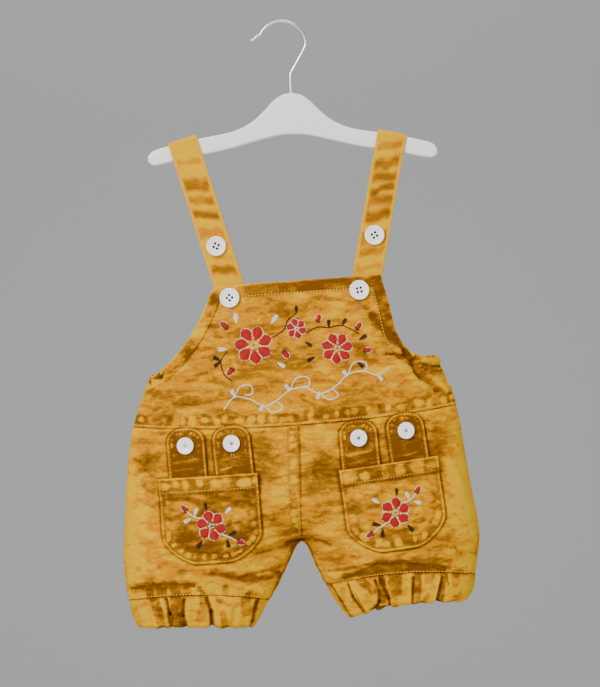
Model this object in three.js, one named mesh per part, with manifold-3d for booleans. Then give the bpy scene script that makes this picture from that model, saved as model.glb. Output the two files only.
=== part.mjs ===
// A small child's dungaree shorts in washed cotton twill, hanging by the straps on a plastic hanger.
// Millimetres, +Z up, the front faces -Y. The origin is the inside of the hook's crest, where a rail carries it.
// The body is one rounded form. Each panel is a wall on that form, and pockets and tabs lie on its points, moved out.
import * as THREE from "three";
import { mergeVertices } from "three/addons/utils/BufferGeometryUtils.js";
import Module from "manifold-3d";

const wasm = await Module();
wasm.setup();

const FRONT = -1;
const BACK = 1;
const LEFT = -1;
const RIGHT = 1;

// Cloth
const CLOTH = 1.5; // wall of a panel
const SEAM = 0.3; // gap between neighbouring pieces
const ROUNDNESS = 2.3; // exponent of a section: 2 is an ellipse, and more is flatter in front

// Heights of the seams
const BIB_TOP_Z = -233;
const ARMHOLE_BEND_Z = -283; // where the armhole starts to sweep out to the side
const SIDE_TOP_Z = -312; // where the armhole edge reaches the side seam
const WAIST_Z = -361; // the waist seam at the centre front
const WAIST_RISE = 8; // how much higher the waist seam is at the sides
const BAND_TOP_Z = -308;
const BAND_HEIGHT = 20;
const CROTCH_Z = -467;
const FRONT_RISE_Z = -415; // where the centre front seam starts to turn under
const BACK_RISE_Z = -398;
const CUFF_Z = -510; // nominal height of the cuff seam

// The body's sections: the outline's left and right edges, the centre line, and how far front and back stand out.
const SECTIONS = [
  { z: -228, left: -128, centre: -3, right: 113, front: 14, back: 13 },
  { z: -262, left: -133, centre: -5, right: 115, front: 18, back: 17 },
  { z: -309, left: -139.5, centre: -7.5, right: 119, front: 24, back: 23 },
  { z: -322, left: -144.5, centre: -8, right: 123.5, front: 25.5, back: 25 },
  { z: -340, left: -152.5, centre: -8.5, right: 130.5, front: 27.5, back: 27 },
  { z: -356, left: -158, centre: -9, right: 134, front: 29.5, back: 29 },
  { z: -380, left: -163.5, centre: -10, right: 137, front: 32, back: 31.5 },
  { z: -405, left: -167, centre: -11, right: 139.5, front: 33.5, back: 33.5 },
  { z: -440, left: -171, centre: -12.5, right: 143.5, front: 34, back: 34.5 },
  { z: -472, left: -174.3, centre: -13.6, right: 146.5, front: 32, back: 32.5 },
  { z: -500, left: -173.2, centre: -13.6, right: 141.5, front: 29, back: 29 },
  { z: -520, left: -170, centre: -13.6, right: 137, front: 26.5, back: 26.5 },
  { z: -534, left: -166.8, centre: -13.6, right: 128.5, front: 24, back: 24 },
  { z: -546, left: -164, centre: -13.6, right: 121, front: 22, back: 22 },
];

// The gap between the legs, from the centre line to each inseam.
const LEG_GAP = [
  { z: -467, left: 0, right: 0 },
  { z: -468.4, left: 2.6, right: 2.4 },
  { z: -471, left: 4.9, right: 4.6 },
  { z: -479, left: 9.3, right: 7.2 },
  { z: -493, left: 17, right: 12.6 },
  { z: -507, left: 25, right: 19 },
  { z: -521, left: 35.5, right: 26.6 },
  { z: -535, left: 44.5, right: 35 },
  { z: -546, left: 50, right: 41.5 },
];

// The bib's free edges, from its top corners down the armholes to the side seams.
const BIB_EDGE = [
  { z: -233, left: -74.7, right: 73 },
  { z: -240, left: -79.8, right: 75.2 },
  { z: -248, left: -83.6, right: 76.9 },
  { z: -258, left: -88.7, right: 79.3 },
  { z: -269, left: -95, right: 81 },
  { z: -279, left: -102.3, right: 82.6 },
  { z: -289, left: -111, right: 84.8 },
  { z: -297, left: -118.8, right: 89 },
  { z: -303, left: -126, right: 95 },
  { z: -308, left: -133, right: 104 },
  { z: -312, left: -140.7, right: 120 },
];

// The largest folds, each a soft ridge (depth above 0) or trough from one point to another.
const FRONT_FOLDS = [
  { x1: 62, z1: -268, x2: 90, z2: -306, width: 10, depth: -1.6 },
  { x1: 96, z1: -312, x2: 124, z2: -342, width: 9, depth: -2.8 },
  { x1: 84, z1: -318, x2: 112, z2: -345, width: 9, depth: 2.2 },
  { x1: 112, z1: -322, x2: 130, z2: -352, width: 5, depth: 1.8 },
  { x1: -126, z1: -316, x2: -84, z2: -326, width: 8, depth: -1.8 },
  { x1: -134, z1: -330, x2: -96, z2: -343, width: 9, depth: 1.6 },
  { x1: -20, z1: -462, x2: -62, z2: -488, width: 7, depth: -2.2 },
  { x1: -6, z1: -464, x2: 26, z2: -484, width: 6, depth: -1.8 },
  { x1: -150, z1: -494, x2: -70, z2: -492, width: 6, depth: 1.6 },
  { x1: 36, z1: -490, x2: 112, z2: -488, width: 6, depth: 1.8 },
];
const BACK_FOLDS = [
  { x1: -70, z1: -345, x2: -84, z2: -392, width: 10, depth: 1.8 },
  { x1: 46, z1: -345, x2: 58, z2: -388, width: 10, depth: 1.8 },
  { x1: -20, z1: -458, x2: -74, z2: -482, width: 8, depth: -2.4 },
  { x1: -4, z1: -458, x2: 44, z2: -482, width: 8, depth: -2.4 },
  { x1: -138, z1: -430, x2: -70, z2: -448, width: 11, depth: 1.6 },
  { x1: 30, z1: -446, x2: 112, z2: -428, width: 11, depth: 1.6 },
];

// The cuffs: heights of the cuff seam and the hem at the outer and inner edge of each leg, and how far each arches up.
const LEGS = [
  { name: "left", side: LEFT, seamOuter: -508.5, seamInner: -517, seamArch: 5.5, hemOuter: -534, hemInner: -541, hemArch: 1.5 },
  { name: "right", side: RIGHT, seamOuter: -507, seamInner: -507.5, seamArch: 7, hemOuter: -531, hemInner: -538.5, hemArch: 6 },
];
const CUFF_GATHERS = 18;
const CUFF_GATHER_DEPTH = 1.7;
const BAND_GATHERS = 26;
const BAND_GATHER_DEPTH = 1.1;
const BAND_WALL = 2.4; // two layers of twill and the elastic

// Patch pockets, each with two buttoned tabs that stand up out of it. Heights are from the mouth down.
const POCKET = { width: 88.6, height: 77.4, cornerWide: 28.5, cornerHigh: 24.5, hem: 14.6, hemRaise: 0.7 };
const POCKETS = [
  { name: "left", side: LEFT, x: -92.2, z: -401.2, tilt: 0 },
  { name: "right", side: RIGHT, x: 67.7, z: -400.9, tilt: 4.3 },
];
const TAB = { width: 34, height: 49, corner: 13 };
const TABS = [
  { name: "left_outer", side: LEFT, x: -110.4, z: -357.5, tilt: 1 },
  { name: "left_inner", side: LEFT, x: -70, z: -358, tilt: 2.5 },
  { name: "right_inner", side: RIGHT, x: 42.8, z: -361, tilt: 1.5 },
  { name: "right_outer", side: RIGHT, x: 84.2, z: -357.5, tilt: 4.5 },
];
const LAYER = 1.5; // thickness of a pocket or a tab

// Straps, from behind the bib over the hanger to the inside of the back band.
const STRAP = { width: 26.5, thick: 2.2, lean: 13.9, frontEnd: -262, backEnd: -324 };
const STRAPS = [
  { name: "left", side: LEFT, topX: -95.5 },
  { name: "right", side: RIGHT, topX: 93.2 },
];

// Buttons
const LARGE_BUTTON = { radius: 8.8, thick: 2.5, holeRadius: 0.95, holeReach: 2 };
const SMALL_BUTTON = { radius: 7.5, thick: 2.2 };
const BIB_BUTTONS = [
  { name: "left", side: LEFT, x: -62.5, z: -244.5 },
  { name: "right", side: RIGHT, x: 53.4, z: -245.6 },
];
const STRAP_BUTTON_Z = -197;
const TAB_BUTTON_DROP = 16;

// Hanger: the plate's top and bottom edge, from its peak, by the distance from its middle.
const HANGER = { peakX: 4.9, peakZ: -63.8, tilt: 2.3, thick: 10, bevel: 2, socket: 16, end: 130 };
const HANGER_EDGE = [
  { x: 0, top: 0, bottom: -37.4 },
  { x: 9.5, top: -2.6, bottom: -37.8 },
  { x: 17.2, top: -8.1, bottom: -39 },
  { x: 25.4, top: -16.5, bottom: -41 },
  { x: 34, top: -24.1, bottom: -43.2 },
  { x: 45, top: -30.4, bottom: -46 },
  { x: 56, top: -34.2, bottom: -48.8 },
  { x: 75, top: -37.6, bottom: -52.6 },
  { x: 95, top: -41.2, bottom: -56 },
  { x: 118, top: -46.6, bottom: -61 },
  { x: 126, top: -49.4, bottom: -61.6 },
  { x: 130, top: -53.6, bottom: -58.6 },
];
const HOOK = { wire: 1.2, bend: 21.5, bendX: -0.6, lowAngle: -4, highAngle: 150 };

const clamp = (value, low, high) => Math.min(high, Math.max(low, value));
const mix = (a, b, share) => a + (b - a) * share;
const smooth = (low, high, value) => THREE.MathUtils.smoothstep(value, low, high);
const radians = THREE.MathUtils.degToRad;

// Reads one column of a table at any height, on a smooth curve through its rows.
function at(table, column, z, key = "z") {
  const sign = Math.sign(table[1][key] - table[0][key]);
  const last = table.length - 1;
  let k = 0;
  while (k < last - 1 && sign * (z - table[k + 1][key]) > 0) k += 1;
  const slope = (i, j) => (table[j][column] - table[i][column]) / (table[j][key] - table[i][key]);
  const low = slope(Math.max(k - 1, 0), k === 0 ? 1 : k + 1);
  const high = slope(k, Math.min(k + 2, last));
  const step = table[k + 1][key] - table[k][key];
  const t = clamp((z - table[k][key]) / step, 0, 1);
  return (
    (2 * t ** 3 - 3 * t ** 2 + 1) * table[k][column] +
    (t ** 3 - 2 * t ** 2 + t) * step * low +
    (3 * t ** 2 - 2 * t ** 3) * table[k + 1][column] +
    (t ** 3 - t ** 2) * step * high
  );
}

const edgeOf = (side) => (side < 0 ? "left" : "right");
const curved = (value) => Math.sign(value) * Math.abs(value) ** (2 / ROUNDNESS);

// How far the folds lift the cloth at one point of the outline.
function foldHeight(face, x, z) {
  let height = 0;
  for (const f of face === FRONT ? FRONT_FOLDS : BACK_FOLDS) {
    const dx = f.x2 - f.x1;
    const dz = f.z2 - f.z1;
    const t = clamp(((x - f.x1) * dx + (z - f.z1) * dz) / (dx * dx + dz * dz), 0, 1);
    const away = Math.hypot(x - f.x1 - t * dx, z - f.z1 - t * dz);
    height += f.depth * Math.exp(-((away / f.width) ** 2));
  }
  return height;
}

// One half of the body at one height. The inner edge is the centre line, and turns under into the leg's inseam.
function halfSection(side, face, z, gap) {
  const outer = at(SECTIONS, edgeOf(side), z);
  const legGap = z < CROTCH_Z ? at(LEG_GAP, edgeOf(side), z) : 0;
  const inner = at(SECTIONS, "centre", z) + side * Math.max(gap, legGap);
  const riseTop = face === FRONT ? FRONT_RISE_Z : BACK_RISE_Z;
  const end = Math.acos(-smooth(0, riseTop - CROTCH_Z, riseTop - z));
  const radius = (outer - inner) / (1 - curved(Math.cos(end)));
  const depth = at(SECTIONS, face === FRONT ? "front" : "back", z);
  return { end, radius, middle: outer - radius, depth, outer, inner };
}

// A point of the form: share 0 is the side seam and 1 is the inner edge. Inset moves it towards the hollow.
function formPoint(side, face, share, z, inset = 0, gap = 0) {
  const h = halfSection(side, face, z, gap);
  const angle = share * h.end;
  const x = h.middle + (h.radius - side * inset) * curved(Math.cos(angle));
  const lift = curved(Math.sin(angle));
  return [x, face * (SEAM / 2 + (h.depth - inset + foldHeight(face, x, z)) * lift), z];
}

// How far the form stands out at a place in the outline, and the same place moved out along the form's normal.
function standOut(side, face, x, z) {
  const h = halfSection(side, face, z, 0);
  const q = Math.min(Math.abs((x - h.middle) / h.radius), 1);
  return SEAM / 2 + (h.depth + foldHeight(face, x, z)) * (1 - q ** ROUNDNESS) ** (1 / ROUNDNESS);
}

function formNormal(side, face, x, z) {
  const step = 0.5;
  const slopeX = (standOut(side, face, x + step, z) - standOut(side, face, x - step, z)) / (2 * step);
  const slopeZ = (standOut(side, face, x, z + step) - standOut(side, face, x, z - step)) / (2 * step);
  return new THREE.Vector3(-slopeX, face, -slopeZ).normalize();
}

function overForm(side, face, x, z, out) {
  const n = formNormal(side, face, x, z);
  return [x + n.x * out, face * standOut(side, face, x, z) + n.y * out, z + n.z * out];
}

function geometryOf(points, triangles) {
  const geometry = new THREE.BufferGeometry();
  geometry.setAttribute("position", new THREE.Float32BufferAttribute(points.flat(), 3));
  geometry.setIndex(triangles.flat());
  const flat = geometry.toNonIndexed();
  flat.computeVertexNormals();
  return flat;
}

function signedVolume(points, triangles) {
  let volume = 0;
  const [a, b, c] = [new THREE.Vector3(), new THREE.Vector3(), new THREE.Vector3()];
  for (const [i, j, k] of triangles) {
    volume += a.fromArray(points[i]).dot(b.fromArray(points[j]).cross(c.fromArray(points[k])));
  }
  return volume;
}

// The grid's borders, in the order its faces run round: four sides, or two rings for a tube.
function borders(rows, cols, first, tube) {
  const index = (r, c) => first + r * (tube ? cols : cols + 1) + (tube ? c % cols : c);
  const across = Array.from({ length: cols + 1 }, (_, c) => c);
  const down = Array.from({ length: rows + 1 }, (_, r) => r);
  const top = across.map((c) => index(0, c));
  const bottom = across.map((c) => index(rows, c)).reverse();
  if (tube) return [top, bottom];
  return [top, down.map((r) => index(r, cols)), bottom, down.map((r) => index(r, 0)).reverse()];
}

// Joins two borders that run the same way, with triangles between their points.
function zip(outer, inner, triangles) {
  let i = 0;
  let j = 0;
  const [n, m] = [outer.length - 1, inner.length - 1];
  while (i < n || j < m) {
    if (j === m || (i < n && (i + 1) / n <= (j + 1) / m)) {
      triangles.push([outer[i + 1], outer[i], inner[j]]);
      i += 1;
    } else {
      triangles.push([inner[j], inner[j + 1], outer[i]]);
      j += 1;
    }
  }
}

// A closed wall between two grids of points that run the same way. The inner grid may have fewer points.
function wall(outer, inner, tube = false) {
  const points = [...outer.flat(), ...inner.flat()];
  const triangles = [];
  const facesOf = (grid, first, flip) => {
    const rows = grid.length - 1;
    const wide = grid[0].length;
    const cols = tube ? wide : wide - 1;
    for (let r = 0; r < rows; r += 1) {
      for (let c = 0; c < cols; c += 1) {
        const a = first + r * wide + c;
        const b = first + r * wide + ((c + 1) % wide);
        const [d, e] = [a + wide, b + wide];
        triangles.push(...(flip ? [[a, e, b], [a, d, e]] : [[a, b, e], [a, e, d]]));
      }
    }
    return borders(rows, cols, first, tube);
  };
  const outerBorders = facesOf(outer, 0, false);
  const innerBorders = facesOf(inner, outer.flat().length, true);
  outerBorders.forEach((border, k) => zip(border, innerBorders[k], triangles));
  if (signedVolume(points, triangles) < 0) triangles.forEach((t) => t.reverse());
  return geometryOf(points, triangles);
}

// Rows of points from a function of (across 0..1, row), with some rows and columns left out by the steps.
function grid(rows, cols, pointAt, rowStep = 1, colStep = 1, tube = false) {
  const made = [];
  for (let r = 0; r <= rows; r += rowStep) {
    const row = [];
    for (let c = 0; c <= cols - (tube ? 1 : 0); c += colStep) row.push(pointAt(c / cols, r));
    made.push(row);
  }
  return made;
}

const PANEL_COLUMNS = 14; // from a side seam to the centre
const COARSE = 2; // a panel's inside has half as many rows or columns

// Bib and front yoke: one panel from the waist seam to the bib's top edge, cut out at the armholes.
// Below the armholes its outermost columns fan out to the side seams, and the others run on straight down.
function bibPanel() {
  const heights = [
    ...Array.from({ length: 8 }, (_, k) => mix(BIB_TOP_Z, ARMHOLE_BEND_Z, k / 8)),
    ...Array.from({ length: 8 }, (_, k) => mix(ARMHOLE_BEND_Z, SIDE_TOP_Z, k / 8)),
    ...Array.from({ length: 9 }, (_, k) => mix(SIDE_TOP_Z, WAIST_Z + SEAM / 2, k / 8)),
  ];
  const rows = heights.length - 1;
  const cols = 2 * PANEL_COLUMNS;
  const startOf = (side, z) => {
    if (z <= SIDE_TOP_Z) return 0;
    const h = halfSection(side, FRONT, z, 0);
    const q = clamp((at(BIB_EDGE, edgeOf(side), z) - h.middle) / h.radius, 0, 1);
    return Math.acos(q ** (ROUNDNESS / 2)) / h.end;
  };
  const sideColumns = 3 / PANEL_COLUMNS;
  const armholeShare = 0.43; // the armhole's share of the way in where it starts to sweep out
  const sideSpread = (u) =>
    u < sideColumns ? (0.5 * u) / sideColumns : 0.5 + (0.5 * (u - sideColumns)) / (1 - sideColumns);
  const pointAt = (inset) => (across, row) => {
    const side = across < 0.5 ? LEFT : RIGHT;
    const u = 1 - Math.abs(2 * across - 1);
    const start = startOf(side, heights[row]);
    const share = mix(start, 1, mix(sideSpread(u), u, Math.min(start / armholeShare, 1)));
    const fade = clamp((SIDE_TOP_Z - heights[row]) / (SIDE_TOP_Z - WAIST_Z), 0, 1);
    const rise = WAIST_RISE * Math.cos((share * Math.PI) / 2) ** 2 * fade;
    return formPoint(side, FRONT, share, heights[row] + rise, inset);
  };
  return wall(grid(rows, cols, pointAt(0)), grid(rows, cols, pointAt(CLOTH), 1, COARSE));
}

const seamZ = (leg, across) =>
  mix(leg.seamOuter, leg.seamInner, across) + 4 * leg.seamArch * across * (1 - across);
const hemZ = (leg, across) =>
  mix(leg.hemOuter, leg.hemInner, across) + 4 * leg.hemArch * across * (1 - across);

// A trouser panel, from the waist seam or the back band to the cuff seam, between side seam and inner edge.
function legPanel(leg, face) {
  const topZ = face === FRONT ? WAIST_Z - SEAM / 2 : BAND_TOP_Z - BAND_HEIGHT - SEAM;
  const riseTop = face === FRONT ? FRONT_RISE_Z : BACK_RISE_Z;
  const heights = [
    ...Array.from({ length: 8 }, (_, k) => mix(topZ, riseTop, k / 8)),
    ...Array.from({ length: 8 }, (_, k) => mix(riseTop, CROTCH_Z, k / 8)),
    ...Array.from({ length: 7 }, (_, k) => mix(CROTCH_Z, CUFF_Z, k / 6)),
  ];
  const rows = heights.length - 1;
  const cols = PANEL_COLUMNS;
  const topRise = face === FRONT ? WAIST_RISE : 0;
  const pointAt = (inset) => (share, row) => {
    const z = heights[row];
    const topFade = clamp((z - riseTop) / (topZ - riseTop), 0, 1);
    const lowFade = clamp((CROTCH_Z - z) / (CROTCH_Z - CUFF_Z), 0, 1);
    const across = (1 - curved(Math.cos(share * Math.PI))) / 2;
    const top = topRise * Math.cos((share * Math.PI) / 2) ** 2 * topFade;
    const low = (seamZ(leg, across) + SEAM / 2 - CUFF_Z) * lowFade;
    return formPoint(leg.side, face, share, z + top + low, inset, SEAM / 2);
  };
  return wall(grid(rows, cols, pointAt(0)), grid(rows, cols, pointAt(CLOTH), COARSE));
}

// An uneven wave for gathered cloth, between -1 and 1, for a place along the gathers from 0 to 1.
function gather(count, place, seed) {
  const turn = 2 * Math.PI * place;
  const drift = 0.9 * Math.sin(2 * turn + seed) + 0.5 * Math.sin(3 * turn + 2 * seed);
  const strength = 0.72 + 0.28 * Math.sin(5 * turn + 3 * seed);
  return strength * Math.cos(count * turn + drift);
}

// Shares of a turn round a leg that lie evenly along the cloth.
function evenTurns(leg, z, count) {
  const h = halfSection(leg.side, FRONT, z, 0);
  const fine = 720;
  const reach = [0];
  const place = (k) => {
    const a = (2 * Math.PI * k) / fine;
    return new THREE.Vector2(h.radius * curved(Math.cos(a)), h.depth * curved(Math.sin(a)));
  };
  for (let k = 1; k <= fine; k += 1) reach.push(reach[k - 1] + place(k).distanceTo(place(k - 1)));
  return Array.from({ length: count }, (_, c) => {
    const k = reach.findIndex((r) => r >= (reach[fine] * c) / count);
    return Math.max(k, 0) / fine;
  });
}

// A leg's turned hem: a tube gathered by the elastic in its lower edge.
function cuff(leg) {
  const cols = CUFF_GATHERS * 5;
  const turns = evenTurns(leg, CUFF_Z - 12, cols);
  const rowShares = [0, 0.45, 1];
  const rowDepths = [0.12, 1, 0.8];
  const pointAt = (inset) => (around, row) => {
    const c = Math.round(around * cols);
    const angle = 2 * Math.PI * turns[c];
    const across = (1 - curved(Math.cos(angle))) / 2;
    const z = mix(seamZ(leg, across) - SEAM / 2, hemZ(leg, across), rowShares[row]);
    const h = halfSection(leg.side, FRONT, z, 0);
    const half = Math.abs(h.radius);
    const normal = new THREE.Vector2(Math.cos(angle) / half, Math.sin(angle) / h.depth).normalize();
    const wave = CUFF_GATHER_DEPTH * gather(CUFF_GATHERS, around, leg.side) * rowDepths[row];
    const out = wave - CUFF_GATHER_DEPTH * 0.5 * rowShares[row] - inset;
    const x = half * curved(Math.cos(angle)) + normal.x * out;
    const y = h.depth * curved(Math.sin(angle)) + normal.y * out;
    return [h.middle + leg.side * x, -y, z];
  };
  const rows = rowShares.length - 1;
  return wall(grid(rows, cols, pointAt(0), 1, 1, true), grid(rows, cols, pointAt(CLOTH), 1, 1, true), true);
}

// The elastic casing along the top of the back.
function backBand() {
  const cols = BAND_GATHERS * 4;
  const rows = 2;
  const pointAt = (inset) => (across, row) => {
    const side = across < 0.5 ? LEFT : RIGHT;
    const share = 1 - Math.abs(2 * across - 1);
    const z = BAND_TOP_Z - BAND_HEIGHT * (row / rows);
    const wave = inset ? 0 : BAND_GATHER_DEPTH * (gather(BAND_GATHERS / 2, across, 1) - 1);
    return formPoint(side, BACK, share, z, inset - wave * Math.sin(share * Math.PI * 0.5));
  };
  return wall(grid(rows, cols, pointAt(0)), grid(rows, cols, pointAt(BAND_WALL + 1), 2, 2));
}

// A place on a flat piece that is sewn on a panel, from its own across and down distances to the outline's x and z.
function placed(piece, across, down) {
  const tilt = radians(piece.tilt);
  return [
    piece.x + across * Math.cos(tilt) + down * Math.sin(tilt),
    piece.z + across * Math.sin(tilt) - down * Math.cos(tilt),
  ];
}

function pocketHalfWidth(down) {
  const k = clamp((down - POCKET.height + POCKET.cornerHigh) / POCKET.cornerHigh, 0, 1);
  return POCKET.width / 2 - POCKET.cornerWide * (1 - Math.sqrt(1 - k * k));
}

// How far a pocket's underside stands off the panel: flat at the stitching, and room for the tabs at the mouth.
function pocketRise(across, down) {
  const toEdge = Math.min(pocketHalfWidth(down) - Math.abs(across), POCKET.height - down);
  const full = Math.max(1 - smooth(8, 18, down), 0.9 * smooth(0, 14, toEdge));
  return SEAM + (LAYER + SEAM) * full;
}

function patchPocket(pocket) {
  const downs = [0, 8, POCKET.hem - 0.4, POCKET.hem + 0.4, 28, 42, 53, 60, 66.5, 72.5, 76.2, POCKET.height];
  const rows = downs.length - 1;
  const cols = 8;
  const pointAt = (top) => (u, row) => {
    const down = downs[row];
    const across = (2 * u - 1) * pocketHalfWidth(down);
    const [x, z] = placed(pocket, across, down);
    const hem = down < POCKET.hem ? POCKET.hemRaise : 0;
    const out = pocketRise(across, down) + (top ? LAYER + hem : 0);
    return overForm(pocket.side, FRONT, x, z, out);
  };
  return wall(grid(rows, cols, pointAt(true)), grid(rows, cols, pointAt(false)));
}

function tab(piece) {
  const downs = [0, 1.2, 4, 8, TAB.corner, 22, 31, 40, TAB.height];
  const rows = downs.length - 1;
  const cols = 4;
  const pointAt = (out) => (u, row) => {
    const k = clamp((TAB.corner - downs[row]) / TAB.corner, 0, 1);
    const half = TAB.width / 2 - TAB.corner * (1 - Math.sqrt(1 - k * k));
    const [x, z] = placed(piece, (2 * u - 1) * half, downs[row]);
    return overForm(piece.side, FRONT, x, z, out);
  };
  return wall(grid(rows, cols, pointAt(SEAM + LAYER)), grid(rows, cols, pointAt(SEAM)));
}

// Height of the hanger's top edge above a place in the outline.
const tiltSlope = Math.tan(radians(HANGER.tilt));
function armTop(x) {
  let along = x - HANGER.peakX;
  for (let k = 0; k < 4; k += 1) {
    along = x - HANGER.peakX - at(HANGER_EDGE, "top", Math.abs(along), "x") * tiltSlope;
  }
  return HANGER.peakZ + at(HANGER_EDGE, "top", Math.abs(along), "x") - along * tiltSlope;
}

// A strap's plane: x and z for a distance down from its highest line and a distance across its width.
function strapPlane(strap) {
  const lean = radians(STRAP.lean);
  const half = STRAP.width / 2;
  let topZ = -Infinity;
  for (let w = -half; w <= half; w += 1) {
    const rest = armTop(strap.topX + w * Math.cos(lean)) + strap.side * w * Math.sin(lean);
    topZ = Math.max(topZ, rest + SEAM + STRAP.thick / 2);
  }
  const place = (down, w) => [
    strap.topX - strap.side * down * Math.sin(lean) + w * Math.cos(lean),
    topZ - down * Math.cos(lean) - strap.side * w * Math.sin(lean),
  ];
  return { place, downTo: (z) => (topZ - z) / Math.cos(lean) };
}

// The strap's middle line in its plane, as (distance down, y), from behind the bib to inside the band.
function strapLine(strap) {
  const plane = strapPlane(strap);
  const clear = SEAM + 0.5 + STRAP.thick / 2;
  const lying = (face, z, wallThick) => {
    const down = plane.downTo(z);
    const across = [-0.5, -0.25, 0, 0.25, 0.5].map((share) => plane.place(down, share * STRAP.width));
    const out = Math.min(...across.map(([x, level]) => standOut(strap.side, face, x, level)));
    return new THREE.Vector2(down, face * (out - wallThick - clear));
  };
  const bend = HANGER.bevel + SEAM + STRAP.thick / 2;
  const ridge = HANGER.thick / 2 - HANGER.bevel;
  const turns = [0, 1].flatMap((half) =>
    Array.from({ length: 5 }, (_, k) => {
      const a = (Math.PI / 8) * (k + 4 * half);
      return new THREE.Vector2(bend * (1 - Math.sin(a)), (half ? ridge : -ridge) - bend * Math.cos(a));
    }),
  );
  return [
    ...[0, 12, 28].map((up) => lying(FRONT, STRAP.frontEnd + up, CLOTH)),
    new THREE.Vector2(plane.downTo(-190), -11.2),
    new THREE.Vector2(plane.downTo(-150), -8.4),
    new THREE.Vector2(plane.downTo(-118), -bend - ridge - 0.2),
    ...turns,
    new THREE.Vector2(plane.downTo(-124), bend + ridge + 0.6),
    new THREE.Vector2(plane.downTo(-180), 10.6),
    new THREE.Vector2(plane.downTo(-250), 15),
    ...[20, 10, 0].map((up) => lying(BACK, STRAP.backEnd + up, BAND_WALL + 1)),
  ];
}

function lineNormal(line, k) {
  const before = line[Math.max(k - 1, 0)];
  const after = line[Math.min(k + 1, line.length - 1)];
  const along = after.clone().sub(before).normalize();
  return new THREE.Vector2(-along.y, along.x);
}

function strap(piece) {
  const { place } = strapPlane(piece);
  const line = strapLine(piece);
  const route = new THREE.SplineCurve(line).getPoints(2 * line.length - 2);
  const rows = route.length - 1;
  const cols = 2;
  const pointAt = (out) => (u, row) => {
    const n = lineNormal(route, row);
    const [x, z] = place(route[row].x + n.x * out, (u - 0.5) * STRAP.width);
    return [x, route[row].y + n.y * out, z];
  };
  const half = STRAP.thick / 2;
  return wall(grid(rows, cols, pointAt(half)), grid(rows, cols, pointAt(-half)));
}

function toManifold(geometry) {
  const bare = geometry.clone();
  bare.deleteAttribute("normal");
  bare.deleteAttribute("uv");
  const merged = mergeVertices(bare, 1e-3);
  return new wasm.Manifold(
    new wasm.Mesh({
      numProp: 3,
      vertProperties: merged.attributes.position.array,
      triVerts: new Uint32Array(merged.index.array),
    }),
  );
}

function fromManifold(solid) {
  const mesh = solid.getMesh();
  const geometry = new THREE.BufferGeometry();
  geometry.setAttribute("position", new THREE.BufferAttribute(mesh.vertProperties, 3));
  geometry.setIndex(new THREE.BufferAttribute(mesh.triVerts, 1));
  const flat = geometry.toNonIndexed();
  flat.computeVertexNormals();
  return flat;
}

// A turned disc that stands on z = 0, from a profile of (radius, height).
function turned(profile, segments) {
  const lathe = new THREE.LatheGeometry(profile.map(([r, h]) => new THREE.Vector2(r, h)), segments);
  return lathe.rotateX(Math.PI / 2);
}

// A sewn four-hole button with a raised rim.
function largeButton() {
  const { radius, thick, holeRadius, holeReach } = LARGE_BUTTON;
  const profile = [
    [0, 0],
    [radius - 1.4, 0],
    [radius, 0.9],
    [radius - 0.4, thick],
    [radius - 1.9, thick],
    [radius - 2.8, thick - 0.7],
    [0, thick - 0.7],
  ];
  let solid = toManifold(turned(profile, 16));
  for (let k = 0; k < 4; k += 1) {
    const angle = radians(45 + 90 * k);
    const hole = new THREE.CylinderGeometry(holeRadius, holeRadius, 3 * thick, 6).rotateX(Math.PI / 2);
    hole.translate(holeReach * Math.cos(angle), holeReach * Math.sin(angle), 0);
    solid = solid.subtract(toManifold(hole));
  }
  return fromManifold(solid);
}

// A pocket tab's button: a smooth disc with a small sunk centre.
function smallButton() {
  const { radius, thick } = SMALL_BUTTON;
  const profile = [
    [0, 0],
    [radius - 0.8, 0],
    [radius, 0.8],
    [radius - 0.7, thick],
    [1.6, thick - 0.25],
    [1.1, thick - 0.8],
    [0, thick - 0.8],
  ];
  return fromManifold(toManifold(turned(profile, 16)));
}

function hangerPlate() {
  const bend = (along, height) => [
    HANGER.peakX + along + height * tiltSlope,
    HANGER.peakZ + height - along * tiltSlope,
  ];
  const steps = [0, 5, 9.5, 13.5, 17.2, 21.3, 25.4, 29.7, 34, 39.5, 45, 56, 75, 95, 112, 121, 126, HANGER.end];
  const outline = [];
  const run = (column, side, list) =>
    list.forEach((x) => outline.push(bend(side * x, at(HANGER_EDGE, column, x, "x"))));
  const inward = [...steps].reverse();
  run("top", RIGHT, steps);
  run("bottom", RIGHT, inward);
  run("bottom", LEFT, steps.slice(1));
  run("top", LEFT, inward.slice(0, -1));
  const shape = new THREE.Shape(outline.map(([x, z]) => new THREE.Vector2(x, z)));
  const plate = new THREE.ExtrudeGeometry(shape, {
    depth: HANGER.thick - 2 * HANGER.bevel,
    bevelThickness: HANGER.bevel,
    bevelSize: HANGER.bevel,
    bevelOffset: -HANGER.bevel,
    bevelSegments: 2,
  });
  plate.rotateX(Math.PI / 2).translate(0, HANGER.thick / 2 - HANGER.bevel, 0);
  const socket = new THREE.CylinderGeometry(HOOK.wire + SEAM, HOOK.wire + SEAM, 2 * HANGER.socket, 12);
  socket.rotateX(Math.PI / 2).rotateY(radians(HANGER.tilt)).translate(HANGER.peakX, 0, HANGER.peakZ);
  return fromManifold(toManifold(plate).subtract(toManifold(socket)));
}

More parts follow.
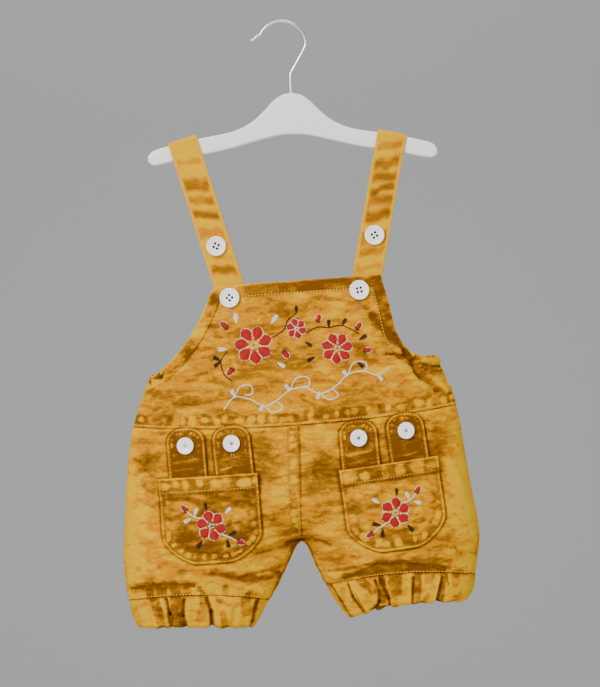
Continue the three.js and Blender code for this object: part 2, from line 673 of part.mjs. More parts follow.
// The wire hook: a round bend over the rail, a tip curled away, and a leg that comes down into the hanger.
function hangerHook() {
  const bendZ = HOOK.wire - HOOK.bend;
  const count = 14;
  const arc = Array.from({ length: count + 1 }, (_, k) => {
    const angle = radians(mix(HOOK.highAngle, HOOK.lowAngle, k / count));
    return [HOOK.bendX + HOOK.bend * Math.cos(angle), bendZ + HOOK.bend * Math.sin(angle)];
  });
  const tip = [[-27.6, -14.6], [-24.6, -13.2], [-22.2, -10.9]];
  const stemEnd = HANGER.socket - SEAM;
  const leg = [
    [18.4, -26.6],
    [15.4, -31.4],
    [10.8, -38.6],
    [6.4, -45.5],
    [5.2, -50.5],
    [HANGER.peakX, HANGER.peakZ],
    [HANGER.peakX - stemEnd * tiltSlope, HANGER.peakZ - stemEnd],
  ];
  const route = [...tip, ...arc, ...leg].map(([x, z]) => new THREE.Vector3(x, 0, z));
  const path = new THREE.CatmullRomCurve3(route, false, "centripetal");
  const section = new THREE.Shape();
  section.absarc(0, 0, HOOK.wire, 0, 2 * Math.PI);
  return new THREE.ExtrudeGeometry(section, { steps: 38, curveSegments: 5, extrudePath: path });
}

const finish = (color, roughness, metalness = 0) =>
  new THREE.MeshStandardMaterial({ color, roughness, metalness });
const TWILL = { body: finish(0xc9912c, 0.9), pale: finish(0xd2a844, 0.9), dark: finish(0x9a6a1c, 0.9) };
const WHITE = finish(0xece9e4, 0.35);
const PLASTIC = finish(0xd9d6d1, 0.4);
const STEEL = finish(0xb9bcbc, 0.25, 1);

const dungarees = new THREE.Group();

function add(name, geometry, material) {
  const mesh = new THREE.Mesh(geometry, material);
  mesh.name = name;
  dungarees.add(mesh);
  return mesh;
}

// Stands a button on a point of the cloth, turned to face along the normal.
function addButton(name, geometry, point, normal) {
  const mesh = add(name, geometry, WHITE);
  mesh.position.fromArray(point);
  mesh.quaternion.setFromUnitVectors(new THREE.Vector3(0, 0, 1), normal);
}

add("bib", bibPanel(), TWILL.body);
for (const leg of LEGS) {
  add(`front_leg_${leg.name}`, legPanel(leg, FRONT), TWILL.body);
  add(`back_leg_${leg.name}`, legPanel(leg, BACK), TWILL.body);
  add(`cuff_${leg.name}`, cuff(leg), TWILL.pale);
}
add("back_band", backBand(), TWILL.pale);

for (const pocket of POCKETS) add(`pocket_${pocket.name}`, patchPocket(pocket), TWILL.dark);

for (const piece of TABS) {
  add(`tab_${piece.name}`, tab(piece), TWILL.dark);
  const [x, z] = placed(piece, 0, TAB_BUTTON_DROP);
  const point = overForm(piece.side, FRONT, x, z, SEAM + LAYER + SEAM);
  addButton(`tab_button_${piece.name}`, smallButton(), point, formNormal(piece.side, FRONT, x, z));
}

for (const b of BIB_BUTTONS) {
  const point = overForm(b.side, FRONT, b.x, b.z, SEAM);
  addButton(`bib_button_${b.name}`, largeButton(), point, formNormal(b.side, FRONT, b.x, b.z));
}

for (const piece of STRAPS) {
  add(`strap_${piece.name}`, strap(piece), TWILL.pale);
  const { place, downTo } = strapPlane(piece);
  const route = new THREE.SplineCurve(strapLine(piece)).getSpacedPoints(400);
  const k = route.findIndex((p) => p.y < 0 && p.x < downTo(STRAP_BUTTON_Z));
  const n = lineNormal(route, k);
  const out = Math.sign(-n.y) * (STRAP.thick / 2 + SEAM);
  const [x, z] = place(route[k].x + n.x * out, 0);
  const [tipX, tipZ] = place(route[k].x + n.x * (out + Math.sign(out)), 0);
  const normal = new THREE.Vector3(tipX - x, n.y * Math.sign(out), tipZ - z).normalize();
  addButton(`strap_button_${piece.name}`, largeButton(), [x, route[k].y + n.y * out, z], normal);
}

add("hanger_plate", hangerPlate(), PLASTIC);
add("hanger_hook", hangerHook(), STEEL);

export default dungarees;
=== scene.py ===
"""Small washed-twill dungarees on a hanger: panels, seams, stitches, buttons and sprigs."""

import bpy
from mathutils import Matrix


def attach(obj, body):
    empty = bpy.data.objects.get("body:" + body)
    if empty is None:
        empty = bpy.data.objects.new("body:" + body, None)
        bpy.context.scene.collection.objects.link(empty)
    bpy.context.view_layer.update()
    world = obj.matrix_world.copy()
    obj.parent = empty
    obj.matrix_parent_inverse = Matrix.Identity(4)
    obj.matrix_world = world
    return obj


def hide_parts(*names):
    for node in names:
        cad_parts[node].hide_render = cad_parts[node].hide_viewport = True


bl_info = {
    "name": "Dungarees on a Hanger",
    "version": (1, 0, 0),
    "blender": (4, 5, 0),
    "location": "View3D > Sidebar > Dungarees",
    "description": "Models and finishes a pair of small washed-twill dungarees on a hanger",
    "category": "Object",
}

from collections import namedtuple
from functools import partial
from math import atan, cos, pi, radians, sin, sqrt, tan

import bpy
import numpy as np
from mathutils import Matrix, Vector

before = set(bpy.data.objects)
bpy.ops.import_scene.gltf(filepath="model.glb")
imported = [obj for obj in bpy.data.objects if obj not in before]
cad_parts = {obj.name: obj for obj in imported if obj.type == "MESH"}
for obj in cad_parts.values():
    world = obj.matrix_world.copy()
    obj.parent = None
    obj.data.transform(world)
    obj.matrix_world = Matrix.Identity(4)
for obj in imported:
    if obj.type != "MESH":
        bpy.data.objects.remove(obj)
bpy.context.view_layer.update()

# Lengths are in millimetres, as a maker's pattern gives them, and a mesh is made in metres at the end.
MM = 0.001
FRONT, BACK = -1, 1
LEFT, RIGHT = -1, 1

CLOTH = 1.5
SEAM = 0.3
ROUNDNESS = 2.3
BIB_TOP = -233
SIDE_TOP = -312
WAIST = -361
WAIST_RISE = 8
BAND_TOP = -308
BAND_HEIGHT = 20
CROTCH = -467
FRONT_RISE = -415
BACK_RISE = -398
CUFF = -510
CENTRE_GAP = 0.01
BIB_HALF_WIDTH, LEG_WIDTH = 135, 175


def table(kind, text):
    """A table's rows, one to a line, with the columns of its kind. A line that starts with # is a note."""
    lines = [line.split() for line in text.strip().splitlines() if not line.startswith("#")]
    return [kind(*(word if word.isalpha() else float(word) for word in line)) for line in lines]


Section = namedtuple("Section", "z left centre right front back")
SECTIONS = table(Section, """
-228 -128 -3 113 14 13
-262 -133 -5 115 18 17
-309 -139.5 -7.5 119 24 23
-322 -144.5 -8 123.5 25.5 25
-340 -152.5 -8.5 130.5 27.5 27
-356 -158 -9 134 29.5 29
-380 -163.5 -10 137 32 31.5
-405 -167 -11 139.5 33.5 33.5
-440 -171 -12.5 143.5 34 34.5
-472 -174.3 -13.6 146.5 32 32.5
-500 -173.2 -13.6 141.5 29 29
-520 -170 -13.6 137 26.5 26.5
-534 -166.8 -13.6 128.5 24 24
-546 -164 -13.6 121 22 22
""")
LegGap = namedtuple("LegGap", "z left right")
LEG_GAP = table(LegGap, """
-467 0 0
-468.4 2.6 2.4
-471 4.9 4.6
-479 9.3 7.2
-493 17 12.6
-507 25 19
-521 35.5 26.6
-535 44.5 35
-546 50 41.5
""")
Edge = namedtuple("Edge", "z left right")
BIB_EDGE = table(Edge, """
-233 -74.7 73
-240 -79.8 75.2
-248 -83.6 76.9
-258 -88.7 79.3
-269 -95 81
-279 -102.3 82.6
-289 -111 84.8
-297 -118.8 89
-303 -126 95
-308 -133 104
-312 -140.7 120
""")

# The largest folds are in the solids too. A crease is finer; its tone paints shade along a trough, and a tone
# below 0 paints highlight along a ridge.
Fold = namedtuple("Fold", "x1 z1 x2 z2 width depth")
FRONT_FOLDS = table(Fold, """
62 -268 90 -306 10 -1.6
96 -312 124 -342 9 -2.8
84 -318 112 -345 9 2.2
112 -322 130 -352 5 1.8
-126 -316 -84 -326 8 -1.8
-134 -330 -96 -343 9 1.6
-20 -462 -62 -488 7 -2.2
-6 -464 26 -484 6 -1.8
-150 -494 -70 -492 6 1.6
36 -490 112 -488 6 1.8
""")
BACK_FOLDS = table(Fold, """
-70 -345 -84 -392 10 1.8
46 -345 58 -388 10 1.8
-20 -458 -74 -482 8 -2.4
-4 -458 44 -482 8 -2.4
-138 -430 -70 -448 11 1.6
30 -446 112 -428 11 1.6
""")
Crease = namedtuple("Crease", "x1 z1 x2 z2 width depth tone")
FRONT_CREASES = table(Crease, """
# From the right-hand bib button down to the armhole, and on across the yoke
52 -256 66 -270 2.2 -1 0.3
64 -270 84 -296 3.4 -1.7 0.5
72 -270 90 -294 3 0.9 -0.1
74 -304 93 -307 1.3 -1.8 0.5
70 -300 89 -301 2.4 0.9 -0.1
83 -288 91 -303 1.7 -2 0.5
91 -303 96 -315 2.2 -2.6 0.62
96 -315 101 -326 2.4 -2.4 0.6
101 -326 117 -338 2.4 -2.2 0.5
88 -312 96 -328 3 1.2 -0.22
104 -322 112 -330 2.6 1.3 -0.16
116 -330 127 -338 2.6 1.8 -0.3
124 -332 129 -340 0.9 -1.4 0.4
101 -307 96 -312 1.2 -2.2 0.6
103 -310 101 -315 1.1 -2.2 0.55
105 -316 102 -320 1.2 -2.2 0.6
108 -317 105 -325 1.1 -2 0.55
104 -305 99 -311 0.9 1.6 -0.4
104 -312 120 -315 2.8 1.9 -0.5
102 -318 100 -324 0.9 1.4 -0.3
110 -320 122 -320 1 -2 0.55
111 -325 119 -325 3.2 0.5 0.24
46 -262 60 -284 4 0.8 -0.14
20 -258 58 -264 2.6 -0.6 0.14
58 -286 84 -312 4 0.7 -0.1
# Under the left-hand armhole
-131.4 -305 -128.4 -311 1.1 -2.4 0.65
-135 -310.6 -129.6 -312 0.9 -2.2 0.6
-128.4 -311 -126.4 -308.6 0.9 -1.8 0.5
-124.5 -301 -129.6 -309 1 1.8 -0.35
-135 -305 -132 -309 1.6 1.4 -0.25
-127 -306 -116 -307.4 1.6 -1.4 0.4
-116 -303.6 -107 -300.7 1 -1 0.3
-126 -308.6 -119 -309.6 0.9 1.1 -0.2
-135.5 -312.6 -128 -313.6 0.9 1.2 -0.25
-140 -311 -139 -316 1.2 -1.4 0.6
-122 -314 -96 -318 2.6 -1.2 0.25
-134 -321 -104 -332 3.4 1.1 -0.1
-118 -309 -88 -300 2.6 0.8 -0.1
-100 -300 -76 -312 3 0.7 -0.1
-84 -262 -70 -290 3.4 -0.6 0.12
-60 -262 -14 -268 3.6 0.7 -0.14
-30 -276 20 -270 3 -0.5 0.12
-66 -324 -20 -330 3.4 0.6 -0.08
24 -330 76 -318 3.6 0.7 -0.1
# Left leg
-26 -467 -12 -466 1.5 -1.8 0.5
-52 -474 -16 -468 2.8 -1.3 0.28
-52 -466 -20 -460 3 1 -0.08
-120 -484 -44 -500 3.2 -1.3 0.26
-112 -488 -50 -508 3.2 1.2 -0.16
-66 -494 -34 -489 2.6 -1.2 0.26
-166 -500 -112 -497 2.8 -1.3 0.4
-160 -488 -116 -486 3.4 1.1 -0.1
-46 -430 -22 -444 3 0.8 -0.14
-46 -450 -24 -462 2.6 0.8 -0.1
-44 -440 -22 -453 2.2 -0.8 0.18
-158 -374 -144 -400 4.2 -0.9 0.18
-166 -410 -150 -452 5 1 -0.05
-168 -392 -162 -396 1.8 -0.8 0.25
-50 -372 -24 -380 3.2 0.7 -0.08
-160 -470 -136 -478 3 -0.9 0.12
# Right leg
-9 -466 12 -471 1.5 -1.7 0.45
-2 -476 26 -486 2.8 -1.2 0.22
-4 -460 20 -462 3 0.9 -0.06
14 -502 50 -491 2.6 -1.4 0.4
50 -491 116 -497 2.6 -1.4 0.4
20 -489 62 -482 3.2 1.2 -0.14
62 -484 122 -486 3.4 1.1 -0.12
118 -470 134 -462 3 -0.8 0.14
124 -482 142 -487 2.4 -0.9 0.3
112 -376 128 -398 3.6 -0.9 0.2
120 -384 134 -430 4.6 1 -0.08
0 -384 20 -396 3.4 0.7 -0.08
2 -430 20 -442 3.2 0.7 -0.08
""")
BACK_CREASES = table(Crease, """
-122 -352 -132 -392 3.6 -1 0.18
-96 -350 -104 -384 3.4 1 -0.1
-44 -348 -48 -380 3.4 -1 0.16
24 -350 30 -386 3.4 -1 0.16
82 -350 92 -384 3.4 1 -0.1
108 -352 120 -390 3.4 -1 0.18
-16 -460 -58 -476 2.6 -1.6 0.4
-14 -452 -66 -462 3 1 -0.1
-8 -460 34 -474 2.6 -1.6 0.4
-6 -452 44 -460 3 1 -0.1
-150 -452 -92 -466 3.2 -1 0.18
-156 -420 -112 -428 3.8 -0.9 0.12
56 -464 118 -450 3.2 -1 0.18
72 -424 124 -414 3.8 -0.9 0.12
-160 -500 -84 -498 2.8 -1.3 0.36
34 -496 120 -498 2.8 -1.3 0.36
-100 -400 -40 -416 5 0.9 -0.05
20 -412 80 -398 5 0.9 -0.05
""")

# Broad patches where the wash left more or less colour.
Patch = namedtuple("Patch", "x z wide high tone")
FRONT_PATCHES = table(Patch, """
-20 -258 34 9 0.22
-50 -262 20 7 -0.12
34 -266 26 6 -0.14
54 -274 16 10 -0.2
-4 -296 34 16 0.14
64 -300 18 10 0.2
70 -318 16 6 -0.14
-89 -289 14 4 0.24
-83 -307 15 6 0.2
-100 -314 14 5 -0.16
-125 -326 17 6 0.26
-108 -335 10 5 0.22
-60 -333 26 8 0.12
-20 -348 20 5 -0.14
102 -334 24 5 -0.24
50 -338 24 6 0.1
-42 -392 16 26 0.24
-46 -440 18 14 0.1
-30 -425 10 6 -0.16
-146 -384 13 12 0.26
-162 -430 13 70 -0.24
-90 -384 6 22 0.22
-70 -482 40 5 -0.16
14 -400 16 14 0.24
4 -420 12 26 0.16
18 -448 12 10 -0.12
64 -384 5 22 0.24
114 -372 9 7 0.24
110 -396 10 16 0.26
133 -432 13 70 -0.26
-26 -461 12 8 0.16
4 -468 14 5 0.14
126 -486 10 3 0.3
""")
BIB_HEM_PATCHES = table(Patch, """
20 -238 62 6 0.5
74 -252 12 22 0.46
82 -282 9 14 0.36
-75 -246 7 7 0.36
-84 -258 5 4 0.3
-106 -291 9 5 0.4
-92 -272 8 6 -0.2
-120 -303 9 5 0.1
""")
BACK_PATCHES = table(Patch, """
-90 -400 40 30 -0.14
60 -404 40 30 -0.14
-12 -400 14 60 0.2
-100 -494 50 6 0.3
70 -494 50 6 0.3
-40 -350 60 8 0.2
60 -350 50 8 0.2
-130 -380 20 14 0.2
100 -376 20 14 0.2
""")

Leg = namedtuple("Leg", "name side seam_outer seam_inner seam_arch hem_outer hem_inner hem_arch")
LEGS = [
    Leg("left", LEFT, -508.5, -517, 5.5, -534, -541, 1.5),
    Leg("right", RIGHT, -507, -507.5, 7, -531, -538.5, 6),
]
CUFF_GATHERS = 18
CUFF_GATHER_DEPTH = 1.7
# Crisp-edged marks: the wash's marks across the gathers, and painted shade in the armholes' folds: the ends
# of each, its half width and its tone.
Mark = namedtuple("Mark", "x1 z1 x2 z2 width tone")
# The cuffs' fold lines: their tone is painted shade in each fold and, below 0, painted highlight on its lip
CUFF_FOLDS = table(Crease, """
-142 -508 -138.5 -519 1.6 0.9 -0.2
-138.5 -519 -136.5 -530 1.6 1.1 -0.2
-137.4 -507 -135.6 -522 1.4 -3.17 0.94
-135.6 -522 -135.4 -538 1.93 -3.97 1.1
-126 -524 -124 -534 1.93 -2.38 0.75
-121.6 -510 -123.4 -525 1.4 -2.64 0.85
-123.4 -525 -121 -538 1.76 -3.44 0.94
-118 -510 -119 -536 1.8 0.9 -0.16
-101.4 -508 -98 -522 1.4 -3.44 1.03
-98 -522 -98 -540 1.76 -4.23 1.1
-93.6 -512 -94.2 -536 2.4 0.9 -0.14
-95 -538 -89 -542 1.93 -2.64 0.94
-80 -514 -84 -538 3 0.9 -0.1
-56.3 -516 -61 -535 1.58 -2.91 0.94
-61 -535 -66 -545 1.58 -2.91 0.94
-64 -518 -66 -536 2.2 0.9 -0.12
25 -506 28 -518 1.17 -2.3 0.85
28 -518 36.8 -533 1.17 -2.76 0.94
28 -508 38 -530 1.3 1.2 -0.24
31.4 -517 38 -531 1.04 -2.07 0.68
49.2 -504 52.2 -515 1.04 -2.3 0.77
52.2 -515 51.6 -524 1.3 -2.76 0.85
51.6 -524 46 -532 1.3 -2.76 0.85
46 -508 48.4 -524 1.8 0.9 -0.18
54 -502 60.6 -522 1.3 -2.99 1.02
60.6 -522 61 -530 1.17 -2.76 0.85
59 -505 64 -524 1.2 1.3 -0.24
50 -529 58 -531 2.08 -2.3 1.02
80.6 -504 79.6 -528 1.2 1.1 -0.24
83.6 -504 80.6 -530 1.17 -2.3 0.51
107 -506 99.6 -531 1.1 1.1 -0.24
110 -506 102.4 -531 1.17 -2.07 0.51
114 -506 115 -513 1.04 -1.61 0.51
9 -504 25 -538 1.17 -1.15 0.77
""")
CUFF_MARKS = table(Mark, """
-148 -508 -143 -532 4.6 0.49
-139 -526 -141 -536 2.6 0.27
-129 -508 -129 -535 5.8 0.51
-105 -507 -104.5 -514 3.4 0.54
-103 -516 -108 -528 4.4 0.38
-92 -512 -82 -517 2.2 0.49
-87.4 -525 -86.4 -539 3.4 0.46
-67 -514 -68 -525 4.6 0.46
-59 -518 -64 -540 2.4 0.24
36 -503 47 -513 4 0.49
55.6 -504 55.8 -523 3.2 0.59
67 -502 66 -514 6.4 0.43
65 -514 66 -527 3 0.4
87.6 -501 84.2 -529 4 0.54
110.6 -504 105 -530 3.6 0.54
98 -504 97 -508 4.4 0.4
96 -521 90.6 -528 2.4 0.54
122 -504 121 -513 3.6 0.43
125 -524 116 -530 3 0.3
20 -512 19 -520 3.2 0.35
""")
HEM_MARKS = table(Mark, """
-152 -500 -151 -508 3.6 0.44
-141 -498 -140 -507 4.6 0.46
-129 -497 -128 -508 5 0.44
-118.6 -499 -117 -508 4 0.41
-107.4 -500 -102 -509 2.2 0.57
-83.6 -501 -84 -510 2.6 0.49
-62 -506 -66.6 -514 2.4 0.51
-169 -497.4 -145 -495.4 1.3 0.67
-145 -495.4 -112 -497 1.5 0.59
-164 -493.4 -148 -494 2 0.36
-94 -486 -57 -497 3.4 0.36
-57 -497 -36 -494 2.8 0.36
23 -499 34 -497 3.8 0.41
38 -497 50 -495 5.4 0.46
52 -497 64 -496 5 0.51
64 -497 111 -499 2.6 0.49
121 -502.6 127 -502.8 3.2 0.38
9 -494 45 -490 2 0.41
45 -490 77 -489.6 2.6 0.41
77 -489.6 88 -495 1.6 0.38
""")
# Painted shade in the folds and pinches where the bib's hem meets the back band's ends.
ARMHOLE_MARKS = table(Mark, """
76.8 -283.7 83.7 -292.9 1.5 0.3
83.7 -292.9 90 -301.3 1.9 0.46
90 -301.3 94.1 -308.5 2.3 0.6
94.1 -308.5 97.5 -318 2.2 0.56
97.5 -318 101.6 -325.2 2.3 0.56
101.6 -325.2 109.8 -330.9 1.9 0.46
109.8 -330.9 116.4 -335.4 1.9 0.44
116.4 -335.4 122 -341.6 1.8 0.34
77 -305 92 -306.4 1 0.4
84 -308.4 90 -308 1.8 0.26
96 -312 101 -307.6 0.9 0.5
99 -318 106 -321.4 1.1 0.5
103 -324.6 108 -320.6 0.9 0.5
104.4 -314.4 108 -316.6 1 0.5
108 -316.8 121.4 -319 0.9 0.5
109 -322.6 121 -323.6 3.2 0.2
-131.3 -306.3 -130.6 -311.5 0.9 0.5
-135 -309.6 -130.6 -311.5 0.8 0.5
-130.6 -311.5 -126.8 -308.7 0.9 0.5
-126.8 -308.7 -118 -307.6 0.9 0.4
-116 -304.6 -107.6 -300.9 0.7 0.3
-104.7 -296.7 -92.5 -284.1 0.6 0.26
-139.8 -315 -138 -311.6 0.8 0.5
""")
BAND_GATHERS = 26
BAND_GATHER_DEPTH = 1.1

Piece = namedtuple("Piece", "name side x z tilt")
POCKETS = [Piece("left", LEFT, -92.2, -401.2, 0), Piece("right", RIGHT, 67.7, -400.9, 4.3)]
POCKET_WIDTH, POCKET_HEIGHT = 88.6, 77.4
POCKET_CORNER_WIDE, POCKET_CORNER_HIGH, POCKET_CORNER_ROUND = 28.5, 24.5, 1.45
POCKET_HEM = 14.6
TABS = [
    Piece("left_outer", LEFT, -110.4, -357.5, 1),
    Piece("left_inner", LEFT, -70, -358, 2.5),
    Piece("right_inner", RIGHT, 42.8, -361, 1.5),
    Piece("right_outer", RIGHT, 84.2, -357.5, 4.5),
]
TAB_WIDTH, TAB_HEIGHT, TAB_CORNER = 34, 49, 13
LAYER = 1.5

Strap = namedtuple("Strap", "name side top_x")
STRAPS = [Strap("left", LEFT, -95.5), Strap("right", RIGHT, 93.2)]
STRAP_WIDTH, STRAP_THICK, STRAP_LEAN = 26.5, 2.2, radians(13.9)
STRAP_FRONT_END, STRAP_BACK_END = -262, -324
Bar = namedtuple("Bar", "strap z high tone")
STRAP_BARS = table(Bar, """
left -119 2.5 0.3
left -141 5.5 0.62
left -155 3.4 0.5
left -168 3 0.6
left -187 5 0.34
left -209 2 0.22
left -219 3.6 0.52
right -119 3.2 0.42
right -134 4.4 0.56
right -146 4.4 0.56
right -156 2.8 0.66
right -167 4.8 0.58
right -180 4.6 0.64
right -199 5.4 0.4
right -212 3.4 0.46
right -225 2.4 0.3
""")

LARGE_BUTTON_RADIUS, LARGE_BUTTON_THICK = 8.8, 2.5
HOLE_REACH, HOLE_RADIUS = 2.4, 1.2
SMALL_BUTTON_RADIUS, SMALL_BUTTON_THICK = 7.5, 2.2
BIB_BUTTONS = [Piece("left", LEFT, -62.5, -244.5, 0), Piece("right", RIGHT, 53.4, -245.6, 0)]
STRAP_BUTTON_Z = -197
TAB_BUTTON_DROP = 16

HANGER_PEAK_X, HANGER_PEAK_Z = 4.9, -63.8
HANGER_TILT = tan(radians(2.3))
HANGER_THICK, HANGER_BEVEL, HANGER_SOCKET, HANGER_END = 10, 2, 16, 130
Profile = namedtuple("Profile", "x top bottom")
HANGER_EDGE = table(Profile, """
0 0 -37.4
9.5 -2.6 -37.8
17.2 -8.1 -39
25.4 -16.5 -41
34 -24.1 -43.2
45 -30.4 -46
56 -34.2 -48.8
75 -37.6 -52.6
95 -41.2 -56
118 -46.6 -61
126 -49.4 -61.6
130 -53.6 -58.6
""")
HOOK_WIRE, HOOK_BEND, HOOK_BEND_X = 1.2, 21.5, -0.6
HOOK_START, HOOK_STOP = 150, -4
HOOK_TIP = [(-27.6, -14.6), (-24.6, -13.2), (-22.2, -10.9)]
HOOK_LEG = [(18.4, -26.6), (15.4, -31.4), (10.8, -38.6), (6.4, -45.5), (5.2, -50.5)]


# Settings


color_value = partial(bpy.props.FloatVectorProperty, subtype="COLOR")
length_value = partial(bpy.props.FloatProperty, subtype="DISTANCE")
power_value = partial(bpy.props.FloatProperty, subtype="POWER")
angle_value = partial(bpy.props.FloatProperty, subtype="ANGLE")


class ClothSettings(bpy.types.PropertyGroup):
    pale: color_value(name="Pale", description="Where most colour went", default=(0.835, 0.628, 0.0))
    golden: color_value(name="Golden", description="The cloth's usual colour", default=(0.765, 0.49, 0.0))
    brown: color_value(name="Brown", description="Colour left in the streaks", default=(0.54, 0.35, 0.05))
    # The darkest colour is the wash's deepest brown and also the painted shade in the creases and folds
    deep_brown_and_shade: color_value(name="Deep", description="Colour left in the creases", default=(0.425, 0.25, 0.05))
    crumple: length_value(name="Crumple", description="Height of the crumples", default=0.55 * MM)
    pitch: length_value(name="Mesh pitch", description="Space between points", default=1.1 * MM)


class StitchSettings(bpy.types.PropertyGroup):
    thread: color_value(name="Thread", description="Topstitching colour", default=(0.95, 0.76, 0.3))
    tonal: color_value(name="Tonal thread", description="Colour on the patches", default=(0.7, 0.5, 0.14))
    length: length_value(name="Stitch length", description="Length of one stitch", default=2.0 * MM)
    pitch: length_value(name="Stitch pitch", description="From one stitch to the next", default=2.9 * MM)
    width: length_value(name="Thread width", description="Thickness of the thread", default=0.85 * MM)


class SprigSettings(bpy.types.PropertyGroup):
    petal: color_value(name="Petals", description="Petal thread", default=(0.74, 0.03, 0.015))
    outline: color_value(name="Outline", description="Stem and outline thread", default=(0.93, 0.91, 0.86))
    leaf: color_value(name="Leaves", description="Leaf thread", default=(0.2, 0.09, 0.05))
    proud: length_value(name="Stand-off", description="Height of the thread", default=0.1 * MM)


class TrimSettings(bpy.types.PropertyGroup):
    button: color_value(name="Buttons", description="Button plastic", default=(1.0, 0.965, 0.94))
    hanger: color_value(name="Hanger", description="Hanger plastic", default=(0.94, 0.915, 0.895))
    steel: color_value(name="Hook", description="Hook wire", default=(0.93, 0.93, 0.88))


class StageSettings(bpy.types.PropertyGroup):
    floor: color_value(name="Floor", description="Floor paint", default=(0.86, 0.86, 0.85))
    wall: color_value(name="Wall", description="Wall paint", default=(0.64, 0.642, 0.636))
    key: power_value(name="Key light", description="Power of the main light", default=65)
    fill: power_value(name="Fill light", description="Power of the fill light", default=17)
    backdrop: power_value(name="Backdrop light", description="Power of the wall's light", default=60)
    distance: length_value(name="Camera distance", description="From the hanger's plane", default=2.32)
    roll: angle_value(name="Camera roll", description="Turn of the view", default=radians(4))


# The form of the garment


def column(rows, name, key="z"):
    """A function that reads one column of a table at any height, on a smooth curve through its rows."""
    keys = np.array([getattr(row, key) for row in rows], float)
    values = np.array([getattr(row, name) for row in rows], float)
    if keys[0] > keys[-1]:
        keys, values = keys[::-1], values[::-1]
    slopes = np.empty_like(values)
    slopes[1:-1] = (values[2:] - values[:-2]) / (keys[2:] - keys[:-2])
    slopes[0] = (values[1] - values[0]) / (keys[1] - keys[0])
    slopes[-1] = (values[-1] - values[-2]) / (keys[-1] - keys[-2])

    def read(at):
        at = np.clip(np.asarray(at, float), keys[0], keys[-1])
        k = np.clip(np.searchsorted(keys, at) - 1, 0, len(keys) - 2)
        step = keys[k + 1] - keys[k]
        t = (at - keys[k]) / step
        return (
            (2 * t**3 - 3 * t**2 + 1) * values[k]
            + (t**3 - 2 * t**2 + t) * step * slopes[k]
            + (3 * t**2 - 2 * t**3) * values[k + 1]
            + (t**3 - t**2) * step * slopes[k + 1]
        )

    return read


OUTER = {LEFT: column(SECTIONS, "left"), RIGHT: column(SECTIONS, "right")}
CENTRE = column(SECTIONS, "centre")
DEPTH = {FRONT: column(SECTIONS, "front"), BACK: column(SECTIONS, "back")}
GAP = {LEFT: column(LEG_GAP, "left"), RIGHT: column(LEG_GAP, "right")}
BIB_SIDE = {LEFT: column(BIB_EDGE, "left"), RIGHT: column(BIB_EDGE, "right")}
ARM_TOP = column(HANGER_EDGE, "top", "x")
ARM_BOTTOM = column(HANGER_EDGE, "bottom", "x")


def smooth(low, high, value):
    t = np.clip((np.asarray(value, float) - low) / (high - low), 0, 1)
    return t * t * (3 - 2 * t)


def mix(a, b, share):
    return a + (b - a) * share


def alike(a, b):
    """Both values as arrays of one shape."""
    return np.broadcast_arrays(np.asarray(a, float), np.asarray(b, float))


def bell(away, width):
    return np.exp(-((away / width) ** 2))


def curved(value):
    return np.sign(value) * np.abs(value) ** (2 / ROUNDNESS)


def soft_noise(x, y, seed=0):
    """Smooth noise from -1 to 1 on a unit lattice."""

    def corner(i, j):
        v = np.sin(i * 127.1 + j * 311.7 + seed * 74.7) * 43758.5453
        return v - np.floor(v)

    x, y = alike(x, y)
    i, j = np.floor(x), np.floor(y)
    fx, fy = smooth(0, 1, x - i), smooth(0, 1, y - j)
    low = mix(corner(i, j), corner(i + 1, j), fx)
    high = mix(corner(i, j + 1), corner(i + 1, j + 1), fx)
    return 2 * mix(low, high, fy) - 1


def layered(x, y, seed=0, layers=3):
    total = 0
    for k in range(layers):
        total = total + soft_noise(x * 2**k, y * 2**k, seed + 13 * k) * 0.55**k
    return total / sum(0.55**k for k in range(layers))


def ridge(rows, x, z, tone=False):
    """Height, and tone, that the soft ridges and troughs of a table give at x, z."""
    height, dark = np.zeros_like(x), np.zeros_like(x)
    for f in rows:
        dx, dz = f.x2 - f.x1, f.z2 - f.z1
        t = np.clip(((x - f.x1) * dx + (z - f.z1) * dz) / (dx * dx + dz * dz), 0, 1)
        near = np.exp(-(((x - f.x1 - t * dx) ** 2 + (z - f.z1 - t * dz) ** 2) / f.width**2))
        height += f.depth * near
        if tone:
            dark += f.tone * near
    return (height, dark) if tone else height


def marks(rows, x, z):
    """The tone that a table of crisp marks gives, with ragged edges."""
    x = x + 0.9 * layered(x / 4, z / 4, 65)
    z = z + 0.9 * layered(x / 4, z / 4, 66)
    tone = np.zeros_like(x)
    for m in rows:
        away, _ = polyline_distance(x, z, [(m.x1, m.z1), (m.x2, m.z2)])
        tone = np.maximum(tone, m.tone * (1 - smooth(0.72, 1.2, away / m.width)))
    return tone


def folds(face, x, z):
    return ridge(FRONT_FOLDS if face == FRONT else BACK_FOLDS, x, z)


Half = namedtuple("Half", "end radius middle depth outer inner")


def half_section(side, face, z, gap=0.0):
    """One half of the body at each height, from the side seam to the inner edge."""
    z = np.asarray(z, float)
    outer = OUTER[side](z)
    leg_gap = np.where(z < CROTCH, GAP[side](z), 0)
    inner = CENTRE(z) + side * np.maximum(gap, leg_gap)
    rise = FRONT_RISE if face == FRONT else BACK_RISE
    end = np.arccos(-smooth(0, rise - CROTCH, rise - z))
    radius = (outer - inner) / (1 - curved(np.cos(end)))
    return Half(end, radius, outer - radius, DEPTH[face](z), outer, inner)


def form(side, face, share, z, gap=0.0):
    """Points of the form: share 0 is the side seam, 1 is the inner edge."""
    h = half_section(side, face, z, gap)
    angle = share * h.end
    x = h.middle + h.radius * curved(np.cos(angle))
    y = face * (SEAM / 2 + (h.depth + folds(face, x, z)) * curved(np.sin(angle)))
    return np.stack([x, y, np.broadcast_to(z, x.shape)], -1)


def stand_out(side, face, x, z):
    h = half_section(side, face, z)
    q = np.minimum(np.abs((x - h.middle) / h.radius), 1)
    return SEAM / 2 + (h.depth + folds(face, x, z)) * (1 - q**ROUNDNESS) ** (1 / ROUNDNESS)


